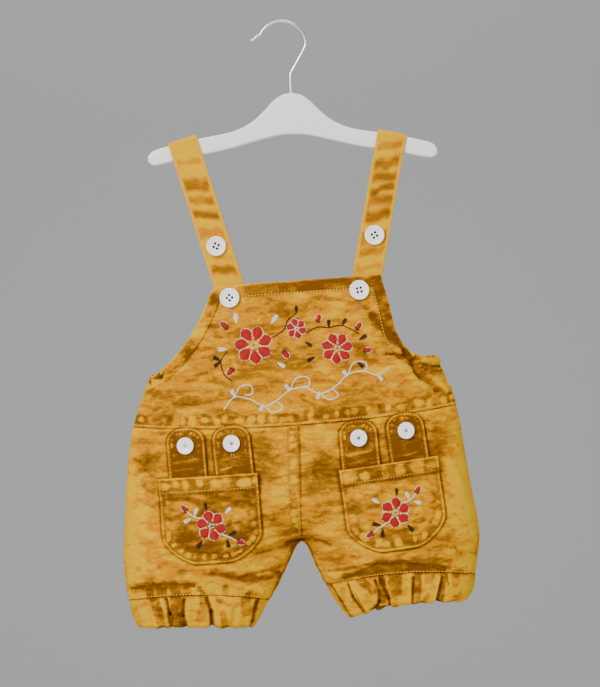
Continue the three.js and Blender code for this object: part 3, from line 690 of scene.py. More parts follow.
def share_at(side, face, x, z):
    h = half_section(side, face, z)
    q = np.clip((x - h.middle) / h.radius, -1, 1)
    return np.arccos(np.sign(q) * np.abs(q) ** (ROUNDNESS / 2)) / h.end


def over_form(side, face, x, z, out):
    """Points over a place in the outline, moved out along the form's normal, and the normals."""
    step = 0.5
    x, z = alike(x, z)
    slope_x = (stand_out(side, face, x + step, z) - stand_out(side, face, x - step, z)) / (2 * step)
    slope_z = (stand_out(side, face, x, z + step) - stand_out(side, face, x, z - step)) / (2 * step)
    normal = np.stack([-slope_x, np.full_like(x, face), -slope_z], -1)
    normal /= np.linalg.norm(normal, axis=-1, keepdims=True)
    base = np.stack([x, face * stand_out(side, face, x, z), z], -1)
    return base + normal * np.asarray(out)[..., None], normal


def polyline_distance(x, z, line):
    """Distance from each point to a line of points, and how far along the line the nearest place is."""
    line = np.asarray(line, float)
    steps = np.diff(line, axis=0)
    lengths = np.hypot(steps[:, 0], steps[:, 1])
    starts = np.concatenate([[0], np.cumsum(lengths)])[:-1]
    best = np.full(np.shape(x), 1e9)
    along = np.zeros(np.shape(x))
    for (ax, az), (dx, dz), length, start in zip(line[:-1], steps, lengths, starts):
        t = np.clip(((x - ax) * dx + (z - az) * dz) / max(length**2, 1e-9), 0, 1)
        away = np.hypot(x - ax - t * dx, z - az - t * dz)
        nearer = away < best
        best = np.where(nearer, away, best)
        along = np.where(nearer, start + t * length, along)
    return best, along


def scatter(index, seed):
    """An even, repeatable value from -1 to 1 for each whole number."""
    v = np.sin(index * 127.1 + seed * 311.7) * 43758.5453
    return 2 * (v - np.floor(v)) - 1


def puffs(along, away, pitch, wide, high, seed):
    """Rounded puffs along a seam, uneven in size and place: 1 on a puff and 0 between two."""
    along = along + 1.0 * soft_noise(along / 2.6, away / 2.6, seed)
    away = away + 1.0 * soft_noise(along / 2.6, away / 2.6, seed + 5)
    first = np.floor(along / pitch)
    best = np.zeros(np.broadcast(along, away).shape)
    for k in (-1, 0, 1):
        index = first + k
        size = 0.9 + 0.42 * scatter(index, seed + 1)
        reach = (along / pitch - index - 0.5 - 0.28 * scatter(index, seed)) * pitch / (wide * size)
        tall = (away - 0.3 * high * scatter(index, seed + 2)) / (
            high * (0.9 + 0.3 * scatter(index, seed + 3))
        )
        strength = 0.78 + 0.3 * scatter(index, seed + 4)
        shape = (np.abs(reach) ** 2.6 + np.abs(tall) ** 2.6) ** (1 / 2.6)
        best = np.maximum(best, strength * (1 - smooth(0.6, 1.2, shape)))
    return best


def band(distance, start, stop, soft=1.2):
    return smooth(start - soft / 2, start + soft / 2, distance) * (
        1 - smooth(stop - soft, stop + soft, distance)
    )


def arched(outer, inner, arch, across):
    return mix(outer, inner, across) + 4 * arch * across * (1 - across)


def seam_z(leg, across):
    return arched(leg.seam_outer, leg.seam_inner, leg.seam_arch, across)


def hem_z(leg, across):
    return arched(leg.hem_outer, leg.hem_inner, leg.hem_arch, across)


def across_leg(side, face, x, z):
    h = half_section(side, face, z)
    return np.clip((h.outer - x) / (h.outer - h.inner), 0, 1)


def waist_z(share):
    return WAIST + WAIST_RISE * np.cos(share * pi / 2) ** 2


def bib_outline(steps=70):
    """The bib's free edge, from the left side seam over the top to the right side seam."""
    z = np.linspace(SIDE_TOP, BIB_TOP, steps)
    left = np.stack([BIB_SIDE[LEFT](z), z], -1)
    right = np.stack([BIB_SIDE[RIGHT](z[::-1]), z[::-1]], -1)
    return np.concatenate([left, right])


BIB_LINE = bib_outline()
BIB_HEM = 10.5


def pocket_half(down):
    k = np.clip((down - POCKET_HEIGHT + POCKET_CORNER_HIGH) / POCKET_CORNER_HIGH, 0, 1)
    return (
        POCKET_WIDTH / 2
        - POCKET_CORNER_WIDE * (1 - (1 - k**POCKET_CORNER_ROUND) ** (1 / POCKET_CORNER_ROUND))
    )


def tab_half(down):
    k = np.clip((TAB_CORNER - down) / TAB_CORNER, 0, 1)
    return TAB_WIDTH / 2 - TAB_CORNER * (1 - np.sqrt(1 - k * k))


def placed(piece, across, down):
    tilt = radians(piece.tilt)
    x = piece.x + across * cos(tilt) + down * sin(tilt)
    z = piece.z + across * sin(tilt) - down * cos(tilt)
    return x, z


def unplaced(piece, x, z):
    tilt = radians(piece.tilt)
    dx, dz = x - piece.x, z - piece.z
    return dx * cos(tilt) + dz * sin(tilt), dx * sin(tilt) - dz * cos(tilt)


def under_patches(x, z):
    """1 where a pocket or a tab lies over a panel, and 1 on the painted shadow line along its edge."""
    cover, line = np.zeros_like(x), np.zeros_like(x)
    for rows, half_width, height in ((POCKETS, pocket_half, POCKET_HEIGHT), (TABS, tab_half, TAB_HEIGHT)):
        for piece in rows:
            across, down = unplaced(piece, x, z)
            inside = np.minimum(half_width(np.clip(down, 0, height)) - np.abs(across), height - down)
            inside = np.minimum(inside, down)
            cover = np.maximum(cover, smooth(-5, 0, inside))
            line = np.maximum(line, smooth(-2.4, -0.8, inside))
    return cover, line


def spread(rows, x, z):
    """The tone that a table of patches gives, with ragged edges."""
    x = x + 6 * layered(x / 12, z / 6, 63, 4)
    z = z + 3.4 * layered(x / 12, z / 6, 64, 4)
    tone = np.zeros_like(x)
    for p in rows:
        tone += p.tone * (1 - smooth(0.55, 1.3, np.hypot((x - p.x) / p.wide, (z - p.z) / p.high)))
    return tone


def dress(side, face, x, z):
    """What sewing and washing did to a panel at x, z, with painted shade and highlight along its creases,
    seams and gathers: how far it is raised, and its tone from 0 to 1.
    """
    crumple = bpy.context.scene.dungarees_cloth.crumple / MM
    wander_x = 2.5 * soft_noise(x / 20, z / 20, 61)
    wander_z = 2.5 * soft_noise(x / 20, z / 20, 62)
    share = share_at(side, face, x, z)
    # The creases' tone is painted shade in their troughs and painted highlight on their ridges
    creased, dark = ridge(
        FRONT_CREASES if face == FRONT else BACK_CREASES, x + wander_x, z + wander_z, tone=True
    )
    fine = 0.7 * layered(x / 16, z / 7, 5 + face) + 0.3 * layered(x / 5.5, z / 3.4, 9 + face, 2)
    wrinkle = 1 - np.abs(soft_noise((x + 0.4 * z) / 20 + wander_x / 5, (z - 0.15 * x) / 6.5, 15 + face)) * 2.2
    wrinkle = np.maximum(wrinkle, 0) * (0.5 + 0.5 * soft_noise(x / 34, z / 30, 17 + face))
    lift = creased + crumple * (fine * 1.6 + 1.1 * wrinkle)
    fine = fine + 1.4 * wrinkle
    # The crumples' raised tops are painted a little paler, as painted highlight
    tone = 0.42 + dark + 0.1 * layered(x / 26, z / 8, 1 + face) - 0.06 * fine
    tone = tone + spread(FRONT_PATCHES if face == FRONT else BACK_PATCHES, x, z)
    # Painted highlight: the cloth is painted paler towards the side seams, where the form turns away
    tone = tone - 0.14 * (1 - smooth(0.08, 0.28, share))

    above = z - waist_z(share)
    if face == FRONT:
        on_bib = above > 0
        puff = puffs(x, above - 6.2, 9.6, 3.9, 4.2, 21)
        strip = band(above, 2.0, 11.0 + 2.4 * soft_noise(x / 4, 0.5, 22), 1.6) * on_bib
        lift = lift + strip * (1.3 * puff - 0.3) + 0.5 * on_bib * (1 - smooth(0, 2.2, above))
        tone = mix(tone, 0.72 + 0.2 * soft_noise(x / 17, 0.5, 24) - 0.7 * puff, 0.92 * strip)
        tone = tone + on_bib * (0.04 - 0.2 * (1 - smooth(0, 2.0, above)))
        # Just under the bib's edge the leg panel dips and is painted dark, as painted shade under the edge,
        # with a paler strip below it
        below = ~on_bib * (1 - smooth(0, 1.8, -above))
        lift, tone = lift - 0.8 * below, tone + 0.55 * ~on_bib * (1 - smooth(0.2, 1.6, -above))
        tone = tone - 0.2 * ~on_bib * band(-above, 1.4, 3.6, 1.0)

        edge, along = polyline_distance(x, z, BIB_LINE)
        hem = (1 - smooth(BIB_HEM - 0.5, BIB_HEM + 0.5, edge)) * on_bib
        rolled = (1 - smooth(0, 2.0, edge)) * on_bib
        puff = puffs(along, edge - 5.5, 13, 3.2, 3.0, 23)
        # The hem's stitched groove is painted dark, as painted shade in the groove
        groove = bell(edge - BIB_HEM, 0.8) * on_bib
        lift = lift + hem * (0.7 + 0.4 * puff) - 0.7 * groove - 0.4 * rolled
        tone = tone + hem * (spread(BIB_HEM_PATCHES, x, z) - 0.08 * puff) - 0.36 * rolled + 0.3 * groove
        # The armholes' folds and pinches sink and are painted dark, as painted shade in them
        folded = marks(ARMHOLE_MARKS, x, z) * on_bib
        lift, tone = lift - 1.2 * folded, tone + folded
    else:
        # Below the back band the gathers ripple the cloth; their crests are painted paler and their troughs
        # darker, as painted highlight and shade
        pull = np.exp(-np.maximum(BAND_TOP - BAND_HEIGHT - z, 0) / 26) * smooth(0.02, 0.2, share)
        waves = gather(BAND_GATHERS / 2, share_to_turn(side, share), 1)
        lift = lift + pull * 1.3 * (waves - 0.2)
        tone = tone - pull * 0.24 * waves

    # The centre seam: a raised edge on the left half, with a strip of puckers between two rows of stitches
    from_middle = np.abs(x - CENTRE(z))
    on_legs = (above < -2 if face == FRONT else z < BAND_TOP - BAND_HEIGHT) & (z > CROTCH + 6)
    if face == BACK or side == LEFT:
        puff = puffs(z, from_middle - 5.6, 6.4, 2.3, 3.5, 31)
        ladder = band(from_middle, 2.2, 9.2) * on_legs
        lift = lift + ladder * (0.9 * puff - 0.2)
        tone = mix(tone, 0.7 + 0.2 * soft_noise(z / 12, 0.5, 32) - 0.68 * puff, 0.85 * ladder)
    if side == LEFT:
        piping = band(from_middle, 0.5, 2.2, 1.0) * on_legs
        lift, tone = lift + 0.6 * piping, mix(tone, 0.1, 0.75 * piping)
    else:
        # On the right half the cloth dips under the piped edge and is painted dark there, as painted shade
        sunk = (1 - smooth(0, 1.5, from_middle)) * on_legs
        lift, tone = lift - 0.5 * sunk, tone + 0.5 * sunk

    inseam = np.abs(x - half_section(side, face, z).inner)
    below = smooth(0, 6, CROTCH - z)
    tone = (
        tone
        + below * (0.5 * bell(inseam - 1.9, 0.8) - 0.25 * (1 - smooth(0.6, 1.4, inseam)))
    )

    leg = LEGS[0] if side == LEFT else LEGS[1]
    up = z - seam_z(leg, across_leg(side, face, x, z))
    puff = puffs(x, up - 6.6, 8.4, 2.6, 4.0, 41 + side)
    strip = band(up, 2.2, 11.0 + 1.5 * soft_noise(x / 5, 0.5, 42), 1.6)
    lift = lift + strip * (0.9 * puff - 0.2) - 0.8 * (1 - smooth(0, 1.8, up))
    if face == FRONT:
        comb = (side == RIGHT) * band(x, 64, 112, 4) * (
            0.5 + 0.5 * np.sin(x * 1.5 + 2 * soft_noise(x / 6, z / 6, 44))
        )
        tone = tone - strip * 0.14 + marks(HEM_MARKS, x, z) + 0.14 * comb * band(up, 5, 11)
        tone = tone + 0.3 * (side == RIGHT) * band(x, 50, 112, 8) * band(up, 3, 17, 3)
    else:
        tone = tone + strip * (0.2 - 0.4 * puff)
    # Along the seam to the cuff the panel dips and is painted dark, as painted shade in the seam, with a
    # paler strip just above
    tone = tone + 0.45 * (1 - smooth(0.2, 1.6, up)) - 0.16 * band(up, 1.4, 2.6, 0.8)

    if face == FRONT:
        # A painted shadow runs round the pockets and tabs on the panel
        hidden, painted_edge_shadow = under_patches(x, z)
        lift = mix(lift, -0.2, hidden)
        tone = tone + 0.45 * painted_edge_shadow
    # Where a half closes round to the crotch and the inseam, its edge stays on the seam
    closing = smooth(0, 10, (FRONT_RISE if face == FRONT else BACK_RISE) - z)
    lift = lift * (1 - closing * (1 - smooth(0, 0.03, 1 - share)))
    return lift * smooth(0, 0.05, share), np.clip(tone, 0, 1)


def share_to_turn(side, share):
    """The place along the back band, from 0 at the left end to 1 at the right."""
    return share / 2 if side == LEFT else 1 - share / 2


def gather(count, place, seed):
    """An uneven wave for gathered cloth, between -1 and 1."""
    turn = 2 * pi * place
    drift = 0.9 * np.sin(2 * turn + seed) + 0.5 * np.sin(3 * turn + 2 * seed)
    strength = 0.72 + 0.28 * np.sin(5 * turn + 3 * seed)
    return strength * np.cos(count * turn + drift)


def on_cloth(face, x, z, out=0.0):
    """Points on the dressed front or back panels, and their normals."""
    x, z = alike(x, z)
    left = x < CENTRE(z)
    points, normals = np.empty(x.shape + (3,)), np.empty(x.shape + (3,))
    for side, mask in ((LEFT, left), (RIGHT, ~left)):
        if mask.any():
            lift, _ = dress(side, face, x[mask], z[mask])
            points[mask], normals[mask] = over_form(side, face, x[mask], z[mask], lift + out)
    return points, normals


# Meshes


def grid_normals(grid, wrap=False):
    if wrap:
        grid = np.concatenate([grid[:, -1:], grid, grid[:, :1]], 1)
    down = np.gradient(grid, axis=0)
    across = np.gradient(grid, axis=1)
    normal = np.cross(across, down)
    normal /= np.maximum(np.linalg.norm(normal, axis=-1, keepdims=True), 1e-9)
    return normal[:, 1:-1] if wrap else normal


def add_mesh(name, points, faces, material):
    """Makes a mesh piece from points in millimetres. It rides on the one body."""
    mesh = bpy.data.meshes.new(name)
    faces = faces.tolist() if isinstance(faces, np.ndarray) else faces
    mesh.from_pydata((np.asarray(points).reshape(-1, 3) * MM).tolist(), [], faces)
    mesh.materials.append(material)
    mesh.polygons.foreach_set("use_smooth", [True] * len(mesh.polygons))
    piece = bpy.data.objects.new(name, mesh)
    bpy.context.scene.collection.objects.link(piece)
    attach(piece, "root")
    return piece


def reach_along(points):
    """The distance along a line of points to each of them."""
    return np.concatenate([[0], np.cumsum(np.linalg.norm(np.diff(points, axis=0), axis=1))])


def set_uv(mesh, values):
    layer = mesh.uv_layers.new(name="cloth")
    index = np.empty(len(mesh.loops), int)
    mesh.loops.foreach_get("vertex_index", index)
    layer.data.foreach_set("uv", np.asarray(values, float).reshape(-1, 2)[index].ravel())


def set_attribute(mesh, name, values):
    attribute = mesh.attributes.new(name, "FLOAT", "POINT")
    attribute.data.foreach_set("value", np.asarray(values, float).ravel())


def grid_faces(rows, cols, wrap=False):
    r, c = np.meshgrid(np.arange(rows - 1), np.arange(cols if wrap else cols - 1), indexing="ij")
    a = r * cols + c
    b = r * cols + (c + 1) % cols
    return np.stack([a, b, b + cols, a + cols], -1).reshape(-1, 4)


def cloth_piece(name, grid, tone, material, wall=CLOTH, wrap=False, outward=None, rim=0.0, rim_steps=2):
    """A wall of cloth from its outer surface, a grid of rows and columns in millimetres."""
    rows, cols = grid.shape[:2]
    faces = facing_out(grid, grid_faces(rows, cols, wrap), outward)
    piece = add_mesh(name, grid, faces, material)
    closed = np.concatenate([grid, grid[:, :1]], 1) if wrap else grid
    across = np.cumsum(
        np.pad(np.linalg.norm(np.diff(closed, axis=1), axis=-1), ((0, 0), (1, 0))), 1
    )[:, :cols]
    down = np.cumsum(np.pad(np.linalg.norm(np.diff(grid, axis=0), axis=-1), ((1, 0), (0, 0))), 0)
    set_uv(piece.data, np.stack([across, down], -1) * MM)
    set_attribute(piece.data, "tone", tone)
    solidify = piece.modifiers.new("wall", "SOLIDIFY")
    solidify.thickness = wall * MM
    solidify.offset = -1
    solidify.use_even_offset = False
    if rim:
        add_bevel(piece, rim, rim_steps, 55)
    apply_modifiers(piece)
    return piece


def facing_out(grid, faces, outward):
    """The faces of a grid, turned to the side that its outward directions point to."""
    corners = grid.reshape(-1, 3)[faces]
    normals = np.cross(corners[:, 2] - corners[:, 0], corners[:, 3] - corners[:, 1])
    outward = np.broadcast_to(outward, grid.shape).reshape(-1, 3)[faces[:, 0]]
    return faces[:, ::-1] if np.sum(normals * outward) < 0 else faces


def select_only(piece):
    bpy.ops.object.select_all(action="DESELECT")
    piece.select_set(True)
    bpy.context.view_layer.objects.active = piece


def add_bevel(piece, width, segments, angle):
    """Rounds the edges that turn by more than an angle in degrees."""
    bevel = piece.modifiers.new("soft_edges", "BEVEL")
    bevel.width = width * MM
    bevel.segments = segments
    bevel.limit_method = "ANGLE"
    bevel.angle_limit = radians(angle)


def apply_modifiers(piece):
    select_only(piece)
    for modifier in list(piece.modifiers):
        bpy.ops.object.modifier_apply(modifier=modifier.name)
    piece.select_set(False)


def bead_model(segments=6, rings=4):
    """One stitch, modelled once: a bead along X, of unit length, width and height."""
    bpy.ops.object.select_all(action="DESELECT")
    bpy.ops.mesh.primitive_uv_sphere_add(segments=segments, ring_count=rings, radius=0.5)
    bead = bpy.context.active_object
    mesh = bead.data
    mesh.transform(Matrix.Rotation(pi / 2, 4, "Y"))
    points = np.array([v.co for v in mesh.vertices])
    points[:, 0] = 0.5 * np.sign(points[:, 0]) * np.abs(2 * points[:, 0]) ** 0.7
    faces = [list(p.vertices) for p in mesh.polygons]
    bpy.data.objects.remove(bead)
    return points, faces


def sew(name, starts, ends, normals, widths, rises, material):
    """Many stitches in one mesh: copies of the bead, each laid from start to end and arched by its rise."""
    bead, bead_faces = bead_model()
    starts, ends, normals = (np.asarray(a, float).reshape(-1, 1, 3) for a in (starts, ends, normals))
    count = len(starts)
    widths = np.broadcast_to(np.asarray(widths, float), count).reshape(-1, 1, 1)
    rises = np.broadcast_to(np.asarray(rises, float), count).reshape(-1, 1, 1)
    along = ends - starts
    lengths = np.linalg.norm(along, axis=-1, keepdims=True)
    side = np.cross(along / lengths, normals)
    side /= np.linalg.norm(side, axis=-1, keepdims=True)
    t = bead[None, :, :1] + 0.5
    points = starts + along * t + side * widths * bead[None, :, 1:2]
    points = points + normals * (widths * bead[None, :, 2:] + rises * np.sin(pi * t))
    faces = [[v + n * len(bead) for v in face] for n in range(count) for face in bead_faces]
    piece = add_mesh(name, points, faces, material)
    uv = np.concatenate([t * lengths, bead[None, :, 1:2] * widths], -1)
    set_uv(piece.data, uv.reshape(-1, 2) * MM)
    face_out(piece)
    return piece


def face_out(piece):
    """Turns every face outwards."""
    select_only(piece)
    bpy.ops.object.mode_set(mode="EDIT")
    bpy.ops.mesh.select_all(action="SELECT")
    bpy.ops.mesh.normals_make_consistent(inside=False)
    bpy.ops.object.mode_set(mode="OBJECT")
    piece.select_set(False)


def stitch_ends(points, normals, pitch, length):
    """Even stitches along a line of points: their starts, ends and normals."""
    reach = reach_along(points)
    count = max(int(reach[-1] / pitch), 1)
    begin = (np.arange(count) + 0.5) * reach[-1] / count - length / 2

    def read(values, at):
        return np.stack([np.interp(at, reach, values[:, k]) for k in range(3)], -1)

    return read(points, begin), read(points, begin + length), read(normals, begin + length / 2)


# Materials


def linear(color):
    """A display colour as the linear value that a shader socket takes."""
    return tuple(c / 12.92 if c <= 0.04045 else ((c + 0.055) / 1.055) ** 2.4 for c in color[:3]) + (1,)


def new_material(name):
    material = bpy.data.materials.new(name)
    material.use_nodes = True
    return material, material.node_tree.nodes, material.node_tree.nodes["Principled BSDF"]


def join(output, field):
    output.id_data.links.new(output, field)


def link(source, output, target, field):
    join(source.outputs[output], target.inputs[field])


def math_node(nodes, operation, *values):
    node = nodes.new("ShaderNodeMath")
    node.operation = operation
    for socket, value in zip(node.inputs, values):
        if isinstance(value, (int, float)):
            socket.default_value = value
        else:
            join(value, socket)
    return node.outputs[0]


def add_node(nodes, kind, **values):
    node = nodes.new(kind)
    set_inputs(node, **values)
    return node


def set_inputs(node, **values):
    """Sets a node's sockets by name, with _ for a space."""
    for name, value in values.items():
        node.inputs[name.replace("_", " ")].default_value = value


def twill_material(name, mottling=1.0):
    """Washed cotton twill: four colours by tone, ragged clouds, and the slanting weave as bump."""
    cloth = bpy.context.scene.dungarees_cloth
    material, nodes, shader = new_material(name)
    attribute = nodes.new("ShaderNodeAttribute")
    attribute.attribute_name = "tone"
    place = nodes.new("ShaderNodeTexCoord")
    total = attribute.outputs["Fac"]
    for stretch, detail, distortion, weight in (
        ((30, 50, 76), 8, 0.8, 0.3 * mottling),
        ((90, 150, 230), 6, 0.6, 0.24 * mottling),
        ((330, 450, 700), 3, 0.3, 0.36 * mottling),
        ((1100, 1100, 1500), 2, 0, 0.25),
    ):
        mapping = add_node(nodes, "ShaderNodeMapping", Scale=stretch)
        link(place, "Object", mapping, "Vector")
        clouds = add_node(nodes, "ShaderNodeTexNoise", Scale=1, Detail=detail, Distortion=distortion)
        set_inputs(clouds, Roughness=0.62)
        link(mapping, "Vector", clouds, "Vector")
        value = clouds.outputs["Fac"]
        if detail > 5:
            edges = nodes.new("ShaderNodeMapRange")
            edges.interpolation_type = "SMOOTHSTEP"
            set_inputs(edges, From_Min=0.41, From_Max=0.59)
            join(value, edges.inputs["Value"])
            value = edges.outputs["Result"]
        part = math_node(nodes, "MULTIPLY_ADD", value, weight, -0.5 * weight)
        total = math_node(nodes, "ADD", total, part)
    ramp = nodes.new("ShaderNodeValToRGB")
    ramp.color_ramp.interpolation = "EASE"
    stops = [(0.12, cloth.pale), (0.42, cloth.golden), (0.74, cloth.brown), (1.0, cloth.deep_brown_and_shade)]
    elements = ramp.color_ramp.elements
    while len(elements) < len(stops):
        elements.new(0.5)
    for element, (position, color) in zip(elements, stops):
        element.position = position
        element.color = linear(color)
    join(total, ramp.inputs["Fac"])
    link(ramp, "Color", shader, "Base Color")

    uv = nodes.new("ShaderNodeUVMap")
    uv.uv_map = "cloth"
    slant = add_node(nodes, "ShaderNodeMapping", Rotation=(0, 0, radians(63)))
    link(uv, "UV", slant, "Vector")
    weave = add_node(nodes, "ShaderNodeTexWave", Scale=420, Distortion=1.2, Detail_Scale=2)
    link(slant, "Vector", weave, "Vector")
    crumples = add_node(nodes, "ShaderNodeTexNoise", Scale=240, Detail=3)
    link(place, "Object", crumples, "Vector")
    weave_bump = add_node(nodes, "ShaderNodeBump", Strength=0.35, Distance=0.00018)
    link(weave, "Fac", weave_bump, "Height")
    crumple_bump = add_node(nodes, "ShaderNodeBump", Strength=0.6, Distance=0.0009)
    link(crumples, "Fac", crumple_bump, "Height")
    link(weave_bump, "Normal", crumple_bump, "Normal")
    link(crumple_bump, "Normal", shader, "Normal")
    set_inputs(
        shader, Roughness=0.88, Specular_IOR_Level=0.03, Sheen_Weight=0.02, Sheen_Tint=(1, 0.75, 0.3, 1),
        Sheen_Roughness=0.5
    )
    return material


THREAD_TWIST = 2200


def thread_material(name, color, roughness=0.55):
    """Shiny embroidery or sewing thread, with its strands as bump along the piece's own length."""
    material, nodes, shader = new_material(name)
    uv = nodes.new("ShaderNodeUVMap")
    uv.uv_map = "cloth"
    strands = add_node(nodes, "ShaderNodeTexWave", Scale=THREAD_TWIST / 6, Distortion=0.6)
    link(uv, "UV", strands, "Vector")
    ramp = nodes.new("ShaderNodeValToRGB")
    ramp.color_ramp.elements[0].color = linear([c * 0.78 for c in color])
    ramp.color_ramp.elements[1].color = linear(color)
    ramp.color_ramp.elements[0].position = 0.1
    ramp.color_ramp.elements[1].position = 0.6
    link(strands, "Fac", ramp, "Fac")
    link(ramp, "Color", shader, "Base Color")
    bump = add_node(nodes, "ShaderNodeBump", Strength=0.4, Distance=0.0002)
    link(strands, "Fac", bump, "Height")
    link(bump, "Normal", shader, "Normal")
    set_inputs(shader, Roughness=roughness, Specular_IOR_Level=0.25, Sheen_Weight=0.03)
    return material


def plastic_material(name, color, roughness, marbling=0.05):
    """Moulded plastic with a faint cloud in its colour and a slightly uneven polish."""
    material, nodes, shader = new_material(name)
    place = nodes.new("ShaderNodeTexCoord")
    clouds = add_node(nodes, "ShaderNodeTexNoise", Scale=90, Detail=3)
    link(place, "Object", clouds, "Vector")
    ramp = nodes.new("ShaderNodeValToRGB")
    ramp.color_ramp.elements[0].color = linear([c * (1 - marbling) for c in color])
    ramp.color_ramp.elements[1].color = linear(color)
    link(clouds, "Fac", ramp, "Fac")
    link(ramp, "Color", shader, "Base Color")
    polish = math_node(nodes, "MULTIPLY_ADD", clouds.outputs["Fac"], 0.12, roughness - 0.06)
    join(polish, shader.inputs["Roughness"])
    set_inputs(shader, Coat_Weight=0.15)
    return material


def steel_material(name, color):
    """Bright drawn wire."""
    material, nodes, shader = new_material(name)
    place = nodes.new("ShaderNodeTexCoord")
    drawn = add_node(nodes, "ShaderNodeTexNoise", Scale=400)
    link(place, "Object", drawn, "Vector")
    polish = math_node(nodes, "MULTIPLY_ADD", drawn.outputs["Fac"], 0.14, 0.22)
    join(polish, shader.inputs["Roughness"])
    set_inputs(shader, Base_Color=linear(color), Metallic=1)
    return material


def material_once(name, make, *values):
    return bpy.data.materials.get(name) or make(name, *values)


def twill():
    return material_once("washed_twill", twill_material)


def strap_twill():
    return material_once("strap_twill", twill_material, 0.4)


def topstitch_thread():
    return material_once("topstitch_thread", thread_material, bpy.context.scene.dungarees_stitch.thread)


# Pieces


class DUNGAREES_OT_stage(bpy.types.Operator):
    """Set up the camera, the pale floor and wall, and the soft lights"""

    bl_idname = "dungarees.stage"
    bl_label = "Stage"

    def execute(self, context):
        settings = context.scene.dungarees_stage
        view_x, view_z = -2.6, -289.4
        tall = 618.3
        data = bpy.data.cameras.new("camera")
        data.sensor_fit = "VERTICAL"
        data.sensor_height = 36
        data.lens = 36 * settings.distance / (tall * MM)
        camera = bpy.data.objects.new("camera", data)
        context.scene.collection.objects.link(camera)
        roll = settings.roll
        camera.matrix_world = Matrix(
            (
                (cos(roll), sin(roll), 0, view_x * MM),
                (0, 0, -1, -settings.distance),
                (-sin(roll), cos(roll), 0, view_z * MM),
                (0, 0, 0, 1),
            )
        )
        context.scene.camera = camera

        floor_z, wall_y, bend, wide = -1.0, 3.0, 1.2, 14.0
        turns = np.linspace(0, pi / 2, 13)
        line = [(-12.0, floor_z)]
        line += [(wall_y - bend + bend * sin(a), floor_z + bend - bend * cos(a)) for a in turns]
        line += [(wall_y, 6.0)]
        points = [(x, y, z) for y, z in line for x in (-wide, wide)]
        faces = [(2 * k, 2 * k + 1, 2 * k + 3, 2 * k + 2) for k in range(len(line) - 1)]
        mesh = bpy.data.meshes.new("floor")
        mesh.from_pydata(points, [], faces)
        mesh.polygons.foreach_set("use_smooth", [True] * len(mesh.polygons))
        material, nodes, shader = new_material("floor_paint")
        place = nodes.new("ShaderNodeTexCoord")
        parts = nodes.new("ShaderNodeSeparateXYZ")
        back = add_node(nodes, "ShaderNodeMapRange", From_Min=0.2, From_Max=wall_y - bend)
        paint = nodes.new("ShaderNodeValToRGB")
        paint.color_ramp.elements[0].color = linear(settings.floor)
        paint.color_ramp.elements[1].color = linear(settings.wall)
        link(place, "Object", parts, "Vector")
        link(parts, "Y", back, "Value")
        link(back, "Result", paint, "Fac")
        link(paint, "Color", shader, "Base Color")
        set_inputs(shader, Roughness=0.95, Specular_IOR_Level=0.1)
        mesh.materials.append(material)
        floor = bpy.data.objects.new("floor", mesh)
        context.scene.collection.objects.link(floor)

        aim = Vector((-0.01, 0, -0.35))
        for name, power, size, place in (
            ("key", settings.key, 1.0, (-1.0, -1.7, 0.75)),
            ("fill", settings.fill, 1.5, (1.5, -1.6, 0.1)),
            ("rim", settings.fill * 0.5, 0.8, (0.3, 0.55, 1.2)),
            ("backdrop", settings.backdrop, 2.4, (0, 1.0, 2.2)),
        ):
            light = bpy.data.lights.new(name, "AREA")
            light.energy = power
            light.size = size
            lamp = bpy.data.objects.new(name, light)
            lamp.location = place
            target = Vector((0, wall_y, -0.4)) if name == "backdrop" else aim
            lamp.rotation_euler = (target - Vector(place)).to_track_quat("-Z", "Y").to_euler()
            context.scene.collection.objects.link(lamp)
        world = bpy.data.worlds.new("studio")
        world.use_nodes = True
        world.node_tree.nodes["Background"].inputs["Color"].default_value = (0.9, 0.93, 1, 1)
        world.node_tree.nodes["Background"].inputs["Strength"].default_value = 0.4
        context.scene.world = world
        return {"FINISHED"}


def joined(halves):
    """One grid from a left and a right half that meet at the inner edge."""
    left, right = halves
    return np.concatenate([left, right[:, ::-1][:, 1:]], 1)


def raised(grid, lift, face):
    """A grid of the form moved out along its normals, and the normals."""
    normals = grid_normals(grid)
    normals *= np.sign(np.sum(normals[..., 1] * face))
    return grid + normals * lift[..., None], normals


def panel(name, side, face, share, z, gap, node):
    """A panel from its shares and heights: the form, raised by its creases and seams."""
    grid = form(side, face, share, z, gap)
    lift, tone = dress(side, face, grid[..., 0], grid[..., 2])
    grid, normals = raised(grid, lift, face)
    piece = cloth_piece(name, grid, tone, twill(), outward=normals)
    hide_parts(node)
    return piece


